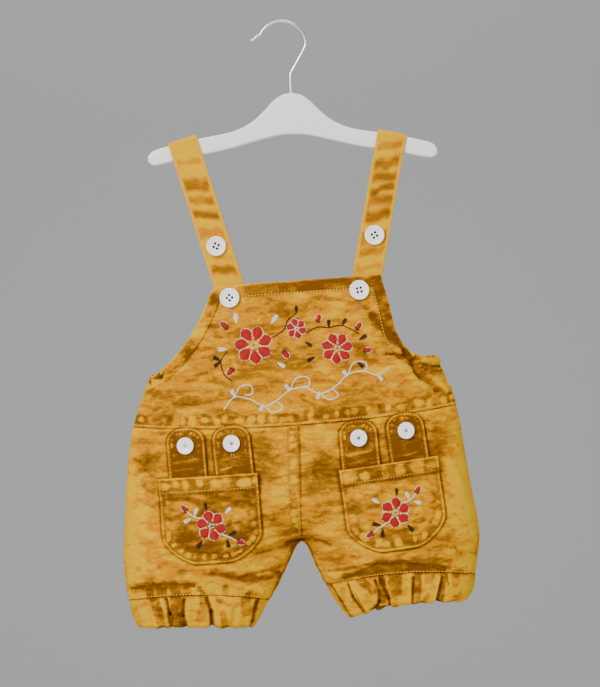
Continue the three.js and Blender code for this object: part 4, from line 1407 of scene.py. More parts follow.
class DUNGAREES_OT_bib(bpy.types.Operator):
    """Make the bib and front yoke, one panel from the bib's top edge to the waist seam"""

    bl_idname = "dungarees.bib"
    bl_label = "Bib"

    def execute(self, context):
        pitch = context.scene.dungarees_cloth.pitch / MM
        upper = np.linspace(BIB_TOP, SIDE_TOP, int((BIB_TOP - SIDE_TOP) / pitch) + 12)
        lower = np.linspace(SIDE_TOP, WAIST + SEAM / 2, int((SIDE_TOP - WAIST) / pitch) + 2)[1:]
        heights = np.concatenate([upper, lower])
        half = int(BIB_HALF_WIDTH / pitch)
        u = np.linspace(0, 1, half + 1)
        side_columns = 0.2
        spacing = np.where(
            u < side_columns, 0.5 * u / side_columns, 0.5 + 0.5 * (u - side_columns) / (1 - side_columns)
        )
        grids, tones, lifts = [], [], []
        for side in (LEFT, RIGHT):
            h = half_section(side, FRONT, heights)
            q = np.clip((BIB_SIDE[side](heights) - h.middle) / h.radius, 0, 1)
            start = np.where(heights <= SIDE_TOP, 0, np.arccos(q ** (ROUNDNESS / 2)) / h.end)
            blend = np.minimum(start / 0.43, 1)[:, None]
            share = mix(start[:, None], 1, mix(spacing[None], u[None], blend))
            fade = np.clip((SIDE_TOP - heights) / (SIDE_TOP - WAIST), 0, 1)[:, None]
            z = heights[:, None] + WAIST_RISE * np.cos(share * pi / 2) ** 2 * fade
            grid = form(side, FRONT, share, z)
            lift, tone = dress(side, FRONT, grid[..., 0], grid[..., 2])
            grids.append(grid)
            tones.append(tone)
            lifts.append(lift)
        grid, normals = raised(joined(grids), joined(lifts), FRONT)
        piece = cloth_piece("bib_panel", grid, joined(tones), twill(), outward=normals, rim=0.5)
        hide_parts("bib")
        return {"FINISHED"}


class DUNGAREES_OT_legs(bpy.types.Operator):
    """Make the four trouser panels, two in front and two behind"""

    bl_idname = "dungarees.legs"
    bl_label = "Leg panels"

    def execute(self, context):
        pitch = context.scene.dungarees_cloth.pitch / MM
        for leg in LEGS:
            for face, word in ((FRONT, "front"), (BACK, "back")):
                top = WAIST - SEAM / 2 if face == FRONT else BAND_TOP - BAND_HEIGHT - SEAM
                rise = FRONT_RISE if face == FRONT else BACK_RISE
                rows = int((top - CUFF) / pitch)
                heights = np.linspace(top, CUFF, rows)
                share = np.linspace(0, 1, int(LEG_WIDTH / pitch))[None]
                across = (1 - curved(np.cos(share * pi))) / 2
                top_fade = np.clip((heights - rise) / (top - rise), 0, 1)[:, None]
                low_fade = np.clip((CROTCH - heights) / (CROTCH - CUFF), 0, 1)[:, None]
                top_rise = WAIST_RISE * np.cos(share * pi / 2) ** 2 if face == FRONT else 0
                low = seam_z(leg, across) + SEAM / 2 - CUFF
                z = heights[:, None] + top_rise * top_fade + low * low_fade
                shares, node = np.broadcast_to(share, z.shape), f"{word}_leg_{leg.name}"
                name = f"{word}_panel_{leg.name}"
                panel(name, leg.side, face, shares, z, CENTRE_GAP, node)
        return {"FINISHED"}


class DUNGAREES_OT_cuffs(bpy.types.Operator):
    """Make the gathered leg hems"""

    bl_idname = "dungarees.cuffs"
    bl_label = "Cuffs"

    def execute(self, context):
        cols, rows = 520, 30
        for leg in LEGS:
            h = half_section(leg.side, FRONT, CUFF - 12)
            fine = 2 * pi * np.arange(721) / 720
            ring = np.stack([h.radius * curved(np.cos(fine)), h.depth * curved(np.sin(fine))], -1)
            reach = reach_along(ring)
            around = np.arange(cols) / cols
            turn = np.interp(around * reach[-1], reach, fine)[None]
            # The first row is the seam allowance, tucked up under the panels
            down = np.concatenate([[0], np.linspace(0, 1, rows)])[:, None]
            tucked = np.arange(rows + 1)[:, None] == 0
            across = (1 - curved(np.cos(turn))) / 2
            z = mix(seam_z(leg, across) - SEAM / 2, hem_z(leg, across), down) + 2.2 * tucked
            h = half_section(leg.side, FRONT, z)
            half = np.abs(h.radius)
            normal = np.stack([np.cos(turn) / half, np.sin(turn) / h.depth], -1)
            normal /= np.linalg.norm(normal, axis=-1, keepdims=True)
            wave = gather(CUFF_GATHERS, around[None], leg.side)
            sharp = 2 * ((1 + wave) / 2) ** 0.7 - 1
            full = smooth(0, 0.4, down) * (1 - 0.25 * smooth(0.6, 1, down))
            x = h.middle + leg.side * half * curved(np.cos(turn))
            facing = np.sin(turn) > 0
            lift = np.where(facing, 0.3, 1.0) * CUFF_GATHER_DEPTH * sharp * (0.1 + 0.9 * full)
            # The gathers' crests are painted paler and their troughs darker, as painted highlight and shade
            tone = 0.2 - 0.1 * sharp * full + 0.1 * layered(x / 9, z / 16, 71)
            # The folds' tone is painted shade in each fold and painted highlight on its lip; the marks are
            # the wash's
            sunk, dark = ridge(CUFF_FOLDS, x, z, tone=True)
            lift = lift + sunk * facing * smooth(0.0, 0.12, down)
            tone = tone + np.where(facing, dark + marks(CUFF_MARKS, x, z), 0.12 * layered(x / 6, z / 20, 72))
            pinch = np.clip(-sunk / 3, 0, 1) * facing
            lift = lift - 0.5 * CUFF_GATHER_DEPTH * down
            roll = smooth(0.86, 1, down)
            lift = lift - 2.4 * roll**2 + 0.4 * soft_noise(x / 4, z / 6, 73)
            lift = np.where(tucked, -2.8, lift)
            # Painted shade: the cuff is darker at the seam, where it goes under the panels, and where the hem
            # rolls under; a paler strip lies above the roll
            tone = tone + 0.3 * (1 - smooth(0, 0.05, down)) - 0.12 * smooth(0.8, 0.9, down) + 0.3 * roll
            px = half * curved(np.cos(turn)) + normal[..., 0] * lift
            py = h.depth * curved(np.sin(turn)) + normal[..., 1] * lift
            drop = (0.8 * wave - 1.5 * pinch) * smooth(0.5, 1, down)
            grid = np.stack([h.middle + leg.side * px, -py, z - drop], -1)
            outward = np.stack([leg.side * normal[..., 0], -normal[..., 1], np.zeros_like(px)], -1)
            piece = cloth_piece(
                f"cuff_{leg.name}_hem", grid, np.clip(tone, 0, 1), twill(), wrap=True, outward=outward
            )
            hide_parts(f"cuff_{leg.name}")
        return {"FINISHED"}


class DUNGAREES_OT_back_band(bpy.types.Operator):
    """Make the elastic casing along the top of the back"""

    bl_idname = "dungarees.back_band"
    bl_label = "Back band"

    def execute(self, context):
        grids, lifts, tones = [], [], []
        rows, half = 18, 170
        down = np.linspace(0, 1, rows)[:, None]
        for side in (LEFT, RIGHT):
            share = np.linspace(0, 1, half)[None]
            z = BAND_TOP - BAND_HEIGHT * down
            grid = form(side, BACK, np.broadcast_to(share, (rows, half)), np.broadcast_to(z, (rows, half)))
            place = share_to_turn(side, share)
            wave = gather(BAND_GATHERS / 2, place, 1)
            frill = gather(BAND_GATHERS * 1.3, place, 2) * (1 - smooth(0, 0.3, down))
            channel = np.sin(pi * np.clip((down - 0.12) / 0.8, 0, 1))
            lift = (BAND_GATHER_DEPTH * (wave - 1) + 0.7 * channel) * np.sin(share * pi / 2)
            lift = lift + 0.7 * frill * smooth(0.02, 0.1, share) + 0.3 * soft_noise(place * 190, down * 3, 82)
            # The crests of the gathers and frill are painted paler and their troughs darker, as painted
            # highlight and shade; the bottom row is darker
            tone = (
                0.36 - 0.2 * wave - 0.16 * frill + 0.16 * layered(place * 40, down * 3, 81)
                + 0.3 * (down > 0.96)
            )
            grids.append(grid)
            lifts.append(lift)
            tones.append(tone)
        grid, normals = raised(joined(grids), joined(lifts), BACK)
        tone = np.clip(joined(tones), 0, 1)
        piece = cloth_piece("back_band_casing", grid, tone, twill(), wall=2.2, outward=normals, rim=0.7)
        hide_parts("back_band")
        return {"FINISHED"}


def patch_outline(half_width, height, rounded_top):
    """The sewn edge of a pocket or tab in its own across and down distances."""
    down = np.linspace(0, height, 60)
    sides = np.stack([half_width(down), down], -1)
    left = sides * [-1, 1]
    if rounded_top:
        return np.concatenate([left[::-1], sides])
    return np.concatenate([left, sides[::-1]])


POCKET_LINE = patch_outline(pocket_half, POCKET_HEIGHT, False)
TAB_LINE = patch_outline(tab_half, TAB_HEIGHT, True)


def piped_edge(edge, out, tone):
    """A patch's rolled edge, painted shade in the stitched groove inside it, and a painted shadow line where
    it meets the panel.
    """
    piping = band(edge, 0.5, 2.2, 0.8)
    groove = bell(edge - 2.7, 0.6)
    out = out + 0.5 * piping - 0.5 * groove
    # Painted shade in the groove and a painted shadow line at the very edge; the piping itself is paler cloth
    tone = mix(tone, 0.2, 0.8 * piping) + 0.2 * groove + 0.8 * (1 - smooth(0.1, 0.6, edge))
    return out, tone


def pocket_dress(pocket, across, down):
    """The height of a pocket's outer face over the panel, and its tone."""
    to_edge = np.minimum(pocket_half(down) - np.abs(across), POCKET_HEIGHT - down)
    full = np.maximum(1 - smooth(8, 18, down), 0.9 * smooth(0, 14, to_edge))
    out = SEAM + (LAYER + SEAM) * full + LAYER
    edge, along = polyline_distance(across, down, POCKET_LINE)
    seed = 91 + 3 * pocket.side
    in_hem = 1 - smooth(POCKET_HEM - 0.4, POCKET_HEM + 0.4, down)
    crumple = layered(across / 14, down / 5, seed) * 0.6 + layered(across / 5, down / 3, seed + 1) * 0.3
    cloud = layered(across / 22, down / 9, seed + 2, 4)
    left = pocket.side == LEFT
    tone = (
        (0.52 if left else 0.42) + 0.36 * smooth(-0.12, 0.1, cloud)
        + 0.12 * layered(across / 6, down / 3, seed + 3)
    )
    pitch, wide, high, reach = (8.8, 3.6, 3.0, 9.4) if left else (13, 5.6, 3.8, 11.4)
    puff = puffs(along, edge - 3.2 - high, pitch, wide, high, seed)
    strip = band(edge, 3.2, reach + 1.6 * soft_noise(along / 4, 0.5, seed), 1.6) * (1 - in_hem)
    strip = strip * (0.3 + 0.7 * smooth(36, 58, down))
    out = out + 0.5 * crumple + strip * (1.1 * puff - 0.2)
    tone = mix(tone, 0.8 + 0.14 * soft_noise(along / 24, 0.5, seed) - 0.8 * puff, np.clip(strip, 0, 1) * 0.95)
    puff = puffs(
        across, down - 7.0, 12.0 if left else 15.5, 5.4 if left else 7.2, 4.6 if left else 5.2, seed + 5
    )
    # Painted shade: a dark line under the hem's fold, and the hem's stitched groove painted darker
    fold = bell(down - POCKET_HEM - 0.6, 0.8)
    hem_line = bell(down - POCKET_HEM + 1.6, 0.6)
    out = out + in_hem * (0.7 + 0.7 * puff - 0.4 * hem_line)
    tone = (
        mix(tone, 0.78 - 0.66 * puff + 0.1 * crumple, in_hem * 0.95) + 0.55 * fold + 0.2 * in_hem * hem_line
    )
    out, tone = piped_edge(edge, out, tone)
    mouth = 1 - smooth(0.8, 2.0, down)
    return out, np.clip(mix(tone, 0.16, mouth * (down > 0.5)), 0, 1)


def tab_dress(tab, across, down):
    edge, along = polyline_distance(across, down, TAB_LINE)
    seed = int(abs(tab.x)) % 17 + 110
    crumple = layered(across / 9, down / 4, seed)
    puff = puffs(along, edge - 5.0, 7.6, 2.6, 1.7, seed)
    strip = band(edge, 3.2, 7.2, 1.4) * (1 - smooth(20, 34, down))
    bars = puffs(down + 0.12 * across, np.abs(across) - 4, 8.5, 1.5, 9, seed + 2) * smooth(24, 30, down)
    out = SEAM + LAYER + 0.4 * crumple + 0.7 * strip * puff + 0.5 * bars
    tone = (
        0.96 + 0.08 * layered(across / 8, down / 4, seed + 4) - 0.56 * strip * puff
        - 0.42 * bars * smooth(3, 5, edge)
    )
    out, tone = piped_edge(edge, out, tone)
    return out, np.clip(tone, 0, 1)


def on_patch(dressed, piece, across, down, out=0.0):
    """Points on the outer face of a pocket or tab, and their normals."""
    across, down = alike(across, down)
    height, _ = dressed(piece, across, down)
    x, z = placed(piece, across, down)
    return over_form(piece.side, FRONT, x, z, height + out)


def sewn_patch(name, piece, half_width, height, dressed, node, cols, rows):
    down = np.linspace(0, 1, rows)
    down = height * (down - 0.06 * np.sin(2 * pi * down))[:, None]
    across = np.linspace(-1, 1, cols)[None] * half_width(down)
    down = np.broadcast_to(down, across.shape)
    out, tone = dressed(piece, across, down)
    x, z = placed(piece, across, down)
    grid, normals = over_form(piece.side, FRONT, x, z, out)
    patch = cloth_piece(name, grid, tone, twill(), wall=1.2, outward=normals, rim=0.45)
    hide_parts(node)
    return patch


class DUNGAREES_OT_pockets(bpy.types.Operator):
    """Make the two patch pockets with their folded hems"""

    bl_idname = "dungarees.pockets"
    bl_label = "Pockets"

    def execute(self, context):
        for pocket in POCKETS:
            name = f"pocket_{pocket.name}"
            patch = sewn_patch(
                f"{name}_patch", pocket, pocket_half, POCKET_HEIGHT, pocket_dress, name, 84, 80
            )
        return {"FINISHED"}


class DUNGAREES_OT_tabs(bpy.types.Operator):
    """Make the four buttoned tabs that stand out of the pockets"""

    bl_idname = "dungarees.tabs"
    bl_label = "Pocket tabs"

    def execute(self, context):
        for tab in TABS:
            name = f"tab_{tab.name}"
            patch = sewn_patch(f"{name}_patch", tab, tab_half, TAB_HEIGHT, tab_dress, name, 40, 56)
        return {"FINISHED"}


# Straps run in a leaning plane, from behind the bib over the hanger's arm to the inside of the back band.


def arm_top(x):
    along = x - HANGER_PEAK_X
    for _ in range(4):
        along = x - HANGER_PEAK_X - ARM_TOP(abs(along)) * HANGER_TILT
    return HANGER_PEAK_Z + ARM_TOP(abs(along)) - along * HANGER_TILT


def strap_top(strap):
    half = STRAP_WIDTH / 2
    steps = np.arange(-half, half + 0.01, 1.0)
    rests = [
        arm_top(strap.top_x + w * cos(STRAP_LEAN)) + strap.side * w * sin(STRAP_LEAN)
        for w in steps
    ]
    return max(rests) + SEAM + STRAP_THICK / 2


def strap_place(strap, top, down, w):
    x = strap.top_x - strap.side * down * sin(STRAP_LEAN) + w * cos(STRAP_LEAN)
    z = top - down * cos(STRAP_LEAN) - strap.side * w * sin(STRAP_LEAN)
    return x, z


def strap_line(strap, top):
    """The strap's middle line: distance down its plane, and y."""

    def down_to(z):
        return (top - z) / cos(STRAP_LEAN)

    def lying(face, z, wall):
        shares = np.array([-0.5, -0.25, 0, 0.25, 0.5]) * STRAP_WIDTH
        x, level = strap_place(strap, top, down_to(z), shares)
        out = stand_out(strap.side, face, x, level).min()
        return down_to(z), face * (out - wall - SEAM - 0.5 - STRAP_THICK / 2)

    bend = HANGER_BEVEL + SEAM + STRAP_THICK / 2
    flat = HANGER_THICK / 2 - HANGER_BEVEL
    turns = []
    for half in (0, 1):
        for k in range(5):
            a = pi / 8 * (k + 4 * half)
            turns.append((bend * (1 - sin(a)), (flat if half else -flat) - bend * cos(a)))
    line = [lying(FRONT, STRAP_FRONT_END + up, CLOTH) for up in (0, 12, 28)]
    line += [(down_to(-190), -11.2), (down_to(-150), -8.4), (down_to(-118), -bend - flat - 0.2)]
    line += turns
    line += [(down_to(-124), bend + flat + 0.6), (down_to(-180), 10.6), (down_to(-250), 15)]
    line += [lying(BACK, STRAP_BACK_END + up, 3.4) for up in (20, 10, 0)]
    return np.array(line)


def through_points(points, pieces):
    """A smooth curve through points, with the same number of steps between each two."""
    padded = np.concatenate([points[:1], points, points[-1:]])
    made = []
    for k in range(len(points) - 1):
        p0, p1, p2, p3 = padded[k : k + 4]
        for t in np.arange(pieces) / pieces:
            v0, v1 = (p2 - p0) / 2, (p3 - p1) / 2
            made.append(
                (2 * p1 - 2 * p2 + v0 + v1) * t**3 + (-3 * p1 + 3 * p2 - 2 * v0 - v1) * t**2 + v0 * t + p1
            )
    return np.array(made + [points[-1]])


def evenly(points, step):
    reach = reach_along(points)
    at = np.linspace(0, reach[-1], int(reach[-1] / step))
    return np.stack([np.interp(at, reach, points[:, k]) for k in range(points.shape[1])], -1)


def strap_route(strap, step=1.4):
    top = strap_top(strap)
    route = evenly(through_points(strap_line(strap, top), 24), step)
    along = np.gradient(route, axis=0)
    along /= np.linalg.norm(along, axis=1, keepdims=True)
    return top, route, np.stack([-along[:, 1], along[:, 0]], -1)


def strap_dress(strap, z, w, front):
    """How far a strap's outer face is raised, and its tone."""
    edge = STRAP_WIDTH / 2 - np.abs(w)
    seed = 131 + strap.side
    groove = bell(edge - 2.2, 0.6)
    lift = 0.3 * layered(w / 20, z / 5, seed) - 0.4 * groove - 0.35 * (1 - smooth(0, 1.4, edge))
    # The stitched groove is painted a little darker, as painted shade
    tone = (
        0.12 + 0.08 * layered(w / 12, z / 5, seed + 1) + 0.06 * layered(w / 5, z / 3, seed + 2)
        + 0.1 * groove
    )
    for bar in STRAP_BARS:
        if bar.strap != strap.name:
            continue
        slope = 0.1 * strap.side * w + 1.8 * soft_noise(w / 6, bar.z, seed + 3)
        near = np.exp(-(np.abs((z - bar.z - slope) / bar.high / 1.2) ** 4)) * smooth(1.5, 4.0, edge)
        tone = tone + np.where(front, 0.96 * bar.tone, 0.6 * bar.tone) * near
        lift = lift - 0.5 * near
    return lift, np.clip(tone, 0, 1)


def on_strap(strap, k, w, out=0.0):
    """Points on a strap's outer face at step k of its route."""
    top, route, normals = strap_route(strap)
    n = normals[k]
    _, z0 = strap_place(strap, top, route[k, 0], w)
    lift, _ = strap_dress(strap, z0, w, route[k, 1] < 0)
    away = STRAP_THICK / 2 + lift + out
    x, z = strap_place(strap, top, route[k, 0] + n[:, 0] * away, w)
    point = np.stack([x, route[k, 1] + n[:, 1] * away, z], -1)
    x1, z1 = strap_place(strap, top, route[k, 0] + n[:, 0] * (away + 1), w)
    normal = np.stack([x1 - x, n[:, 1], z1 - z], -1)
    return point, normal / np.linalg.norm(normal, axis=-1, keepdims=True)


class DUNGAREES_OT_straps(bpy.types.Operator):
    """Make the two straps over the hanger's arms"""

    bl_idname = "dungarees.straps"
    bl_label = "Straps"

    def execute(self, context):
        for strap in STRAPS:
            top, route, normals = strap_route(strap)
            w = np.linspace(-1, 1, 22)[None] * STRAP_WIDTH / 2
            down, y = route[:, :1], route[:, 1:]
            _, z0 = strap_place(strap, top, down, w)
            lift, tone = strap_dress(strap, z0, w, y < 0)
            away = STRAP_THICK / 2 + lift
            x, z = strap_place(strap, top, down + normals[:, :1] * away, w)
            grid = np.stack([x, y + normals[:, 1:] * away, z], -1)
            name = f"strap_{strap.name}"
            # A strap bends right round, so its outer side faces forwards in front and backwards behind
            outward = np.where(grid[..., 1:2] < 0, (0, -1, 0), (0, 1, 0))
            wall = STRAP_THICK - 0.2
            piece = cloth_piece(
                f"{name}_webbing", grid, tone, strap_twill(), wall, outward=outward, rim=0.6, rim_steps=3
            )
            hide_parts(name)
        return {"FINISHED"}


# Buttons, modelled once and copied


def edit(piece):
    select_only(piece)
    bpy.ops.object.mode_set(mode="EDIT")
    bpy.ops.mesh.select_mode(type="FACE")
    bpy.ops.mesh.select_all(action="DESELECT")


def select_faces(piece, test):
    """Selects the faces that pass a test on their middle and normal."""
    bpy.ops.object.mode_set(mode="OBJECT")
    for polygon in piece.data.polygons:
        polygon.select = test(polygon.center, polygon.normal)
    bpy.ops.object.mode_set(mode="EDIT")


def disc(name, radius, thick, segments=56):
    bpy.ops.object.select_all(action="DESELECT")
    bpy.ops.mesh.primitive_cylinder_add(
        vertices=segments, radius=radius * MM, depth=thick * MM, location=(0, 0, thick * MM / 2)
    )
    piece = bpy.context.active_object
    piece.name = name
    bpy.ops.object.transform_apply(location=True, rotation=True, scale=True)
    return piece


def cut_holes(piece, reach, radius, thick):
    """Drills four holes round the middle of a button."""
    cutters = []
    for k in range(4):
        angle = radians(45 + 90 * k)
        bpy.ops.object.select_all(action="DESELECT")
        bpy.ops.mesh.primitive_cylinder_add(
            vertices=16,
            radius=radius * MM,
            depth=3 * thick * MM,
            location=(reach * MM * cos(angle), reach * MM * sin(angle), 0),
        )
        cutters.append(bpy.context.active_object)
    for cutter in cutters:
        hole = piece.modifiers.new("hole", "BOOLEAN")
        hole.operation = "DIFFERENCE"
        hole.object = cutter
        apply_modifiers(piece)
    for cutter in cutters:
        bpy.data.objects.remove(cutter)


def large_button_model():
    """A four-hole button with a raised rim and a shallow dish."""
    radius, thick = LARGE_BUTTON_RADIUS, LARGE_BUTTON_THICK
    piece = disc("large_button", radius, thick)
    edit(piece)
    select_faces(piece, lambda c, n: n.z > 0.9)
    bpy.ops.mesh.inset(thickness=1.5 * MM)
    bpy.ops.mesh.inset(thickness=0.8 * MM)
    bpy.ops.transform.translate(value=(0, 0, -0.7 * MM))
    select_faces(piece, lambda c, n: n.z < -0.9)
    bpy.ops.mesh.inset(thickness=1.2 * MM)
    bpy.ops.mesh.select_all(action="DESELECT")
    bpy.ops.object.mode_set(mode="OBJECT")
    add_bevel(piece, 0.35, 3, 30)
    apply_modifiers(piece)
    cut_holes(piece, HOLE_REACH, HOLE_RADIUS, thick)
    select_only(piece)
    bpy.ops.object.shade_smooth_by_angle(angle=radians(32))
    return piece


def small_button_model():
    """A smooth disc with a small sunk centre."""
    radius, thick = SMALL_BUTTON_RADIUS, SMALL_BUTTON_THICK
    piece = disc("small_button", radius, thick)
    edit(piece)
    select_faces(piece, lambda c, n: n.z > 0.9)
    bpy.ops.mesh.inset(thickness=0.6 * MM)
    bpy.ops.mesh.inset(thickness=4.5 * MM)
    bpy.ops.transform.translate(value=(0, 0, -0.25 * MM))
    bpy.ops.mesh.inset(thickness=0.3 * MM)
    bpy.ops.transform.translate(value=(0, 0, -0.7 * MM))
    bpy.ops.object.mode_set(mode="OBJECT")
    add_bevel(piece, 0.4, 3, 30)
    apply_modifiers(piece)
    select_only(piece)
    bpy.ops.object.shade_smooth_by_angle(angle=radians(32))
    return piece


def place_copy(model, name, point, normal, material, spin=0.0):
    """A copy of a model with its own mesh, stood on a point of the cloth."""
    mesh = model.data.copy()
    mesh.name = name
    turn = Vector((0, 0, 1)).rotation_difference(Vector(normal)).to_matrix().to_4x4()
    mesh.transform(Matrix.Translation(Vector(point) * MM) @ turn @ Matrix.Rotation(spin, 4, "Z"))
    mesh.materials.clear()
    mesh.materials.append(material)
    piece = bpy.data.objects.new(name, mesh)
    bpy.context.scene.collection.objects.link(piece)
    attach(piece, "root")
    return piece


def button_seats():
    """Each button's node, model, spin, point and normal."""
    seats = []
    for button in BIB_BUTTONS:
        point, normal = over_form(button.side, FRONT, button.x, button.z, SEAM + 0.6)
        spin = radians(45 if button.side == LEFT else 11)
        seats.append((f"bib_button_{button.name}", "large", spin, point, normal))
    for strap in STRAPS:
        top, route, normals = strap_route(strap, 0.5)
        _, z = strap_place(strap, top, route[:, 0], 0.0)
        k = int(np.argmin(np.abs(z - STRAP_BUTTON_Z) + 1000 * (route[:, 1] > 0)))
        away = STRAP_THICK / 2 + SEAM
        x, z = strap_place(strap, top, route[k, 0] + normals[k, 0] * away, 0.0)
        x1, z1 = strap_place(strap, top, route[k, 0] + normals[k, 0] * (away + 1), 0.0)
        normal = Vector((x1 - x, normals[k, 1], z1 - z)).normalized()
        seats.append(
            (
                f"strap_button_{strap.name}", "large", 0.5 * strap.side,
                (x, route[k, 1] + normals[k, 1] * away, z), normal
            )
        )
    for tab in TABS:
        x, z = placed(tab, 0, TAB_BUTTON_DROP)
        point, normal = over_form(tab.side, FRONT, x, z, SEAM + LAYER + SEAM + 0.3)
        seats.append((f"tab_button_{tab.name}", "small", 0.0, point, normal))
    return seats


class DUNGAREES_OT_buttons(bpy.types.Operator):
    """Make the bib, strap and tab buttons, with the thread in their holes"""

    bl_idname = "dungarees.buttons"
    bl_label = "Buttons"

    def execute(self, context):
        plastic = material_once(
            "button_plastic", plastic_material, context.scene.dungarees_trim.button, 0.32
        )
        thread = material_once("button_thread", thread_material, (0.16, 0.1, 0.07), 0.7)
        tack = material_once("tack_metal", steel_material, (0.6, 0.6, 0.62))
        large, small = large_button_model(), small_button_model()
        knot = disc("knot", 1.1, 1.0, 12)
        dot = disc("tack", 1.3, 0.5, 20)
        for node, size, spin, point, normal in button_seats():
            model = large if size == "large" else small
            button = place_copy(model, f"{node}_disc", point, normal, plastic, spin)
            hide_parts(node)
            turn = Vector((0, 0, 1)).rotation_difference(Vector(normal)).to_matrix()
            if size == "small":
                at = Vector(point) + turn @ Vector((0, 0, SMALL_BUTTON_THICK - 0.75))
                place_copy(dot, f"{node}_tack", at, normal, tack)
                continue
            for k in range(4):
                angle = radians(45 + 90 * k) + spin
                at = (
                    Vector(point)
                    + turn @ Vector((HOLE_REACH * cos(angle), HOLE_REACH * sin(angle), 0.1))
                )
                place_copy(knot, f"{node}_thread_{k}", at, normal, thread)
        for model in (large, small, knot, dot):
            bpy.data.objects.remove(model)
        return {"FINISHED"}


# Sewing


class DUNGAREES_OT_topstitching(bpy.types.Operator):
    """Sew the topstitching along hems, seams, pockets, tabs and straps"""

    bl_idname = "dungarees.topstitching"
    bl_label = "Topstitching"

    def execute(self, context):
        stitch = context.scene.dungarees_stitch
        pitch, length, width = stitch.pitch / MM, stitch.length / MM, stitch.width / MM
        thread = topstitch_thread()
        tonal = material_once("tonal_thread", thread_material, stitch.tonal)
        rows = {
            name: []
            for name in ("bib", "waist", "rise", "legs", "pocket_hems", "pockets", "tabs", "straps")
        }
        proud = 0.1

        inner = evenly(inset_line(evenly(BIB_LINE, 1.5), BIB_HEM), 1.5)
        inner = inner[(inner[:, 1] > -299) & ((inner[:, 0] > -66) | (inner[:, 1] > -247))]
        rows["bib"].append(on_cloth(FRONT, inner[:, 0], inner[:, 1], proud))
        x = np.linspace(-150, 126, 240)
        side_share = np.where(
            x < CENTRE(WAIST), share_at(LEFT, FRONT, x, WAIST), share_at(RIGHT, FRONT, x, WAIST)
        )
        rows["waist"].append(on_cloth(FRONT, x, waist_z(side_share) + 1.6, proud))
        for face, top, offsets in (
            (FRONT, WAIST - 3, (-1.6, -9.8)), (BACK, BAND_TOP - BAND_HEIGHT - 3, (-1.6, 7.8))
        ):
            z = np.linspace(top, CROTCH + 14, 140)
            for offset in offsets:
                rows["rise"].append(on_cloth(face, CENTRE(z) + offset, z, proud))
        for leg in LEGS:
            for face in (FRONT, BACK):
                across = np.linspace(0.06, 0.94, 120)
                z = seam_z(leg, across) + 1.6
                h = half_section(leg.side, face, z)
                rows["legs"].append(on_cloth(face, mix(h.outer, h.inner, across), z, proud))
        for pocket in POCKETS:
            line = evenly(inset_line(evenly(POCKET_LINE[1:-1], 1.2), 2.7), 1.2)
            rows["pockets"].append(on_patch(pocket_dress, pocket, line[:, 0], line[:, 1], proud))
            across = np.linspace(-1, 1, 70) * (POCKET_WIDTH / 2 - 3)
            rows["pocket_hems"].append(on_patch(pocket_dress, pocket, across, POCKET_HEM - 1.8, proud))
        for tab in TABS:
            line = inset_line(TAB_LINE, 2.6)
            line = line[line[:, 1] < TAB_HEIGHT - 6.5]
            rows["tabs"].append(on_patch(tab_dress, tab, line[:, 0], line[:, 1], proud))
        for strap in STRAPS:
            count = len(strap_route(strap)[1])
            for w in (-1, 1):
                rows["straps"].append(
                    on_strap(strap, np.arange(2, count - 2), w * (STRAP_WIDTH / 2 - 2.2), proud)
                )
        for name, lines in rows.items():
            ends = [stitch_ends(points, normals, pitch, length) for points, normals in lines]
            starts, stops, normals = (np.concatenate([e[k] for e in ends]) for k in range(3))
            wide = width * (1.25 if name == "bib" else 0.9)
            color = tonal if name in ("rise", "pockets", "tabs") else thread
            sew(f"topstitching_{name}", starts, stops, normals, wide, 0.15, color)
        return {"FINISHED"}


def inset_line(line, distance):
    """An outline moved towards its middle."""
    along = np.gradient(line, axis=0)
    along /= np.maximum(np.linalg.norm(along, axis=1, keepdims=True), 1e-9)
    normal = np.stack([-along[:, 1], along[:, 0]], -1)
    middle = line.mean(0)
    normal *= np.sign(np.sum((middle - line) * normal))
    moved = line + normal * distance
    away, _ = polyline_distance(moved[:, 0], moved[:, 1], line)
    return moved[away > distance - 0.4]


class DUNGAREES_OT_buttonholes(bpy.types.Operator):
    """Sew the buttonholes that show below the buttons, and the tabs' thread tails"""

    bl_idname = "dungarees.buttonholes"
    bl_label = "Buttonholes"

    def execute(self, context):
        thread = material_once("buttonhole_thread", thread_material, (0.86, 0.62, 0.45))
        starts, stops, normals = [], [], []
        for button in BIB_BUTTONS:
            for k in range(9):
                z = button.z - LARGE_BUTTON_RADIUS - 0.6 - 0.7 * k
                for way in (-1, 1):
                    ends, n = on_cloth(FRONT, [button.x + way * 0.3, button.x + way * 1.6], [z, z - 0.2], 0.1)
                    starts.append(ends[0])
                    stops.append(ends[1])
                    normals.append(n[0])
        for tab in TABS[1:2]:
            for lean in (-1.6, 1.2):
                ends, n = on_patch(
                    tab_dress, tab, [0.6 * lean, lean], [TAB_BUTTON_DROP + 8, TAB_BUTTON_DROP + 11.5], 0.1
                )
                starts.append(ends[0])
                stops.append(ends[1])
                normals.append(n[0])
        sew("buttonhole_stitches", starts, stops, normals, 0.55, 0.2, thread)
        return {"FINISHED"}


# Embroidery: plain sprigs of flowers, leaves and tendrils in satin and stem stitch


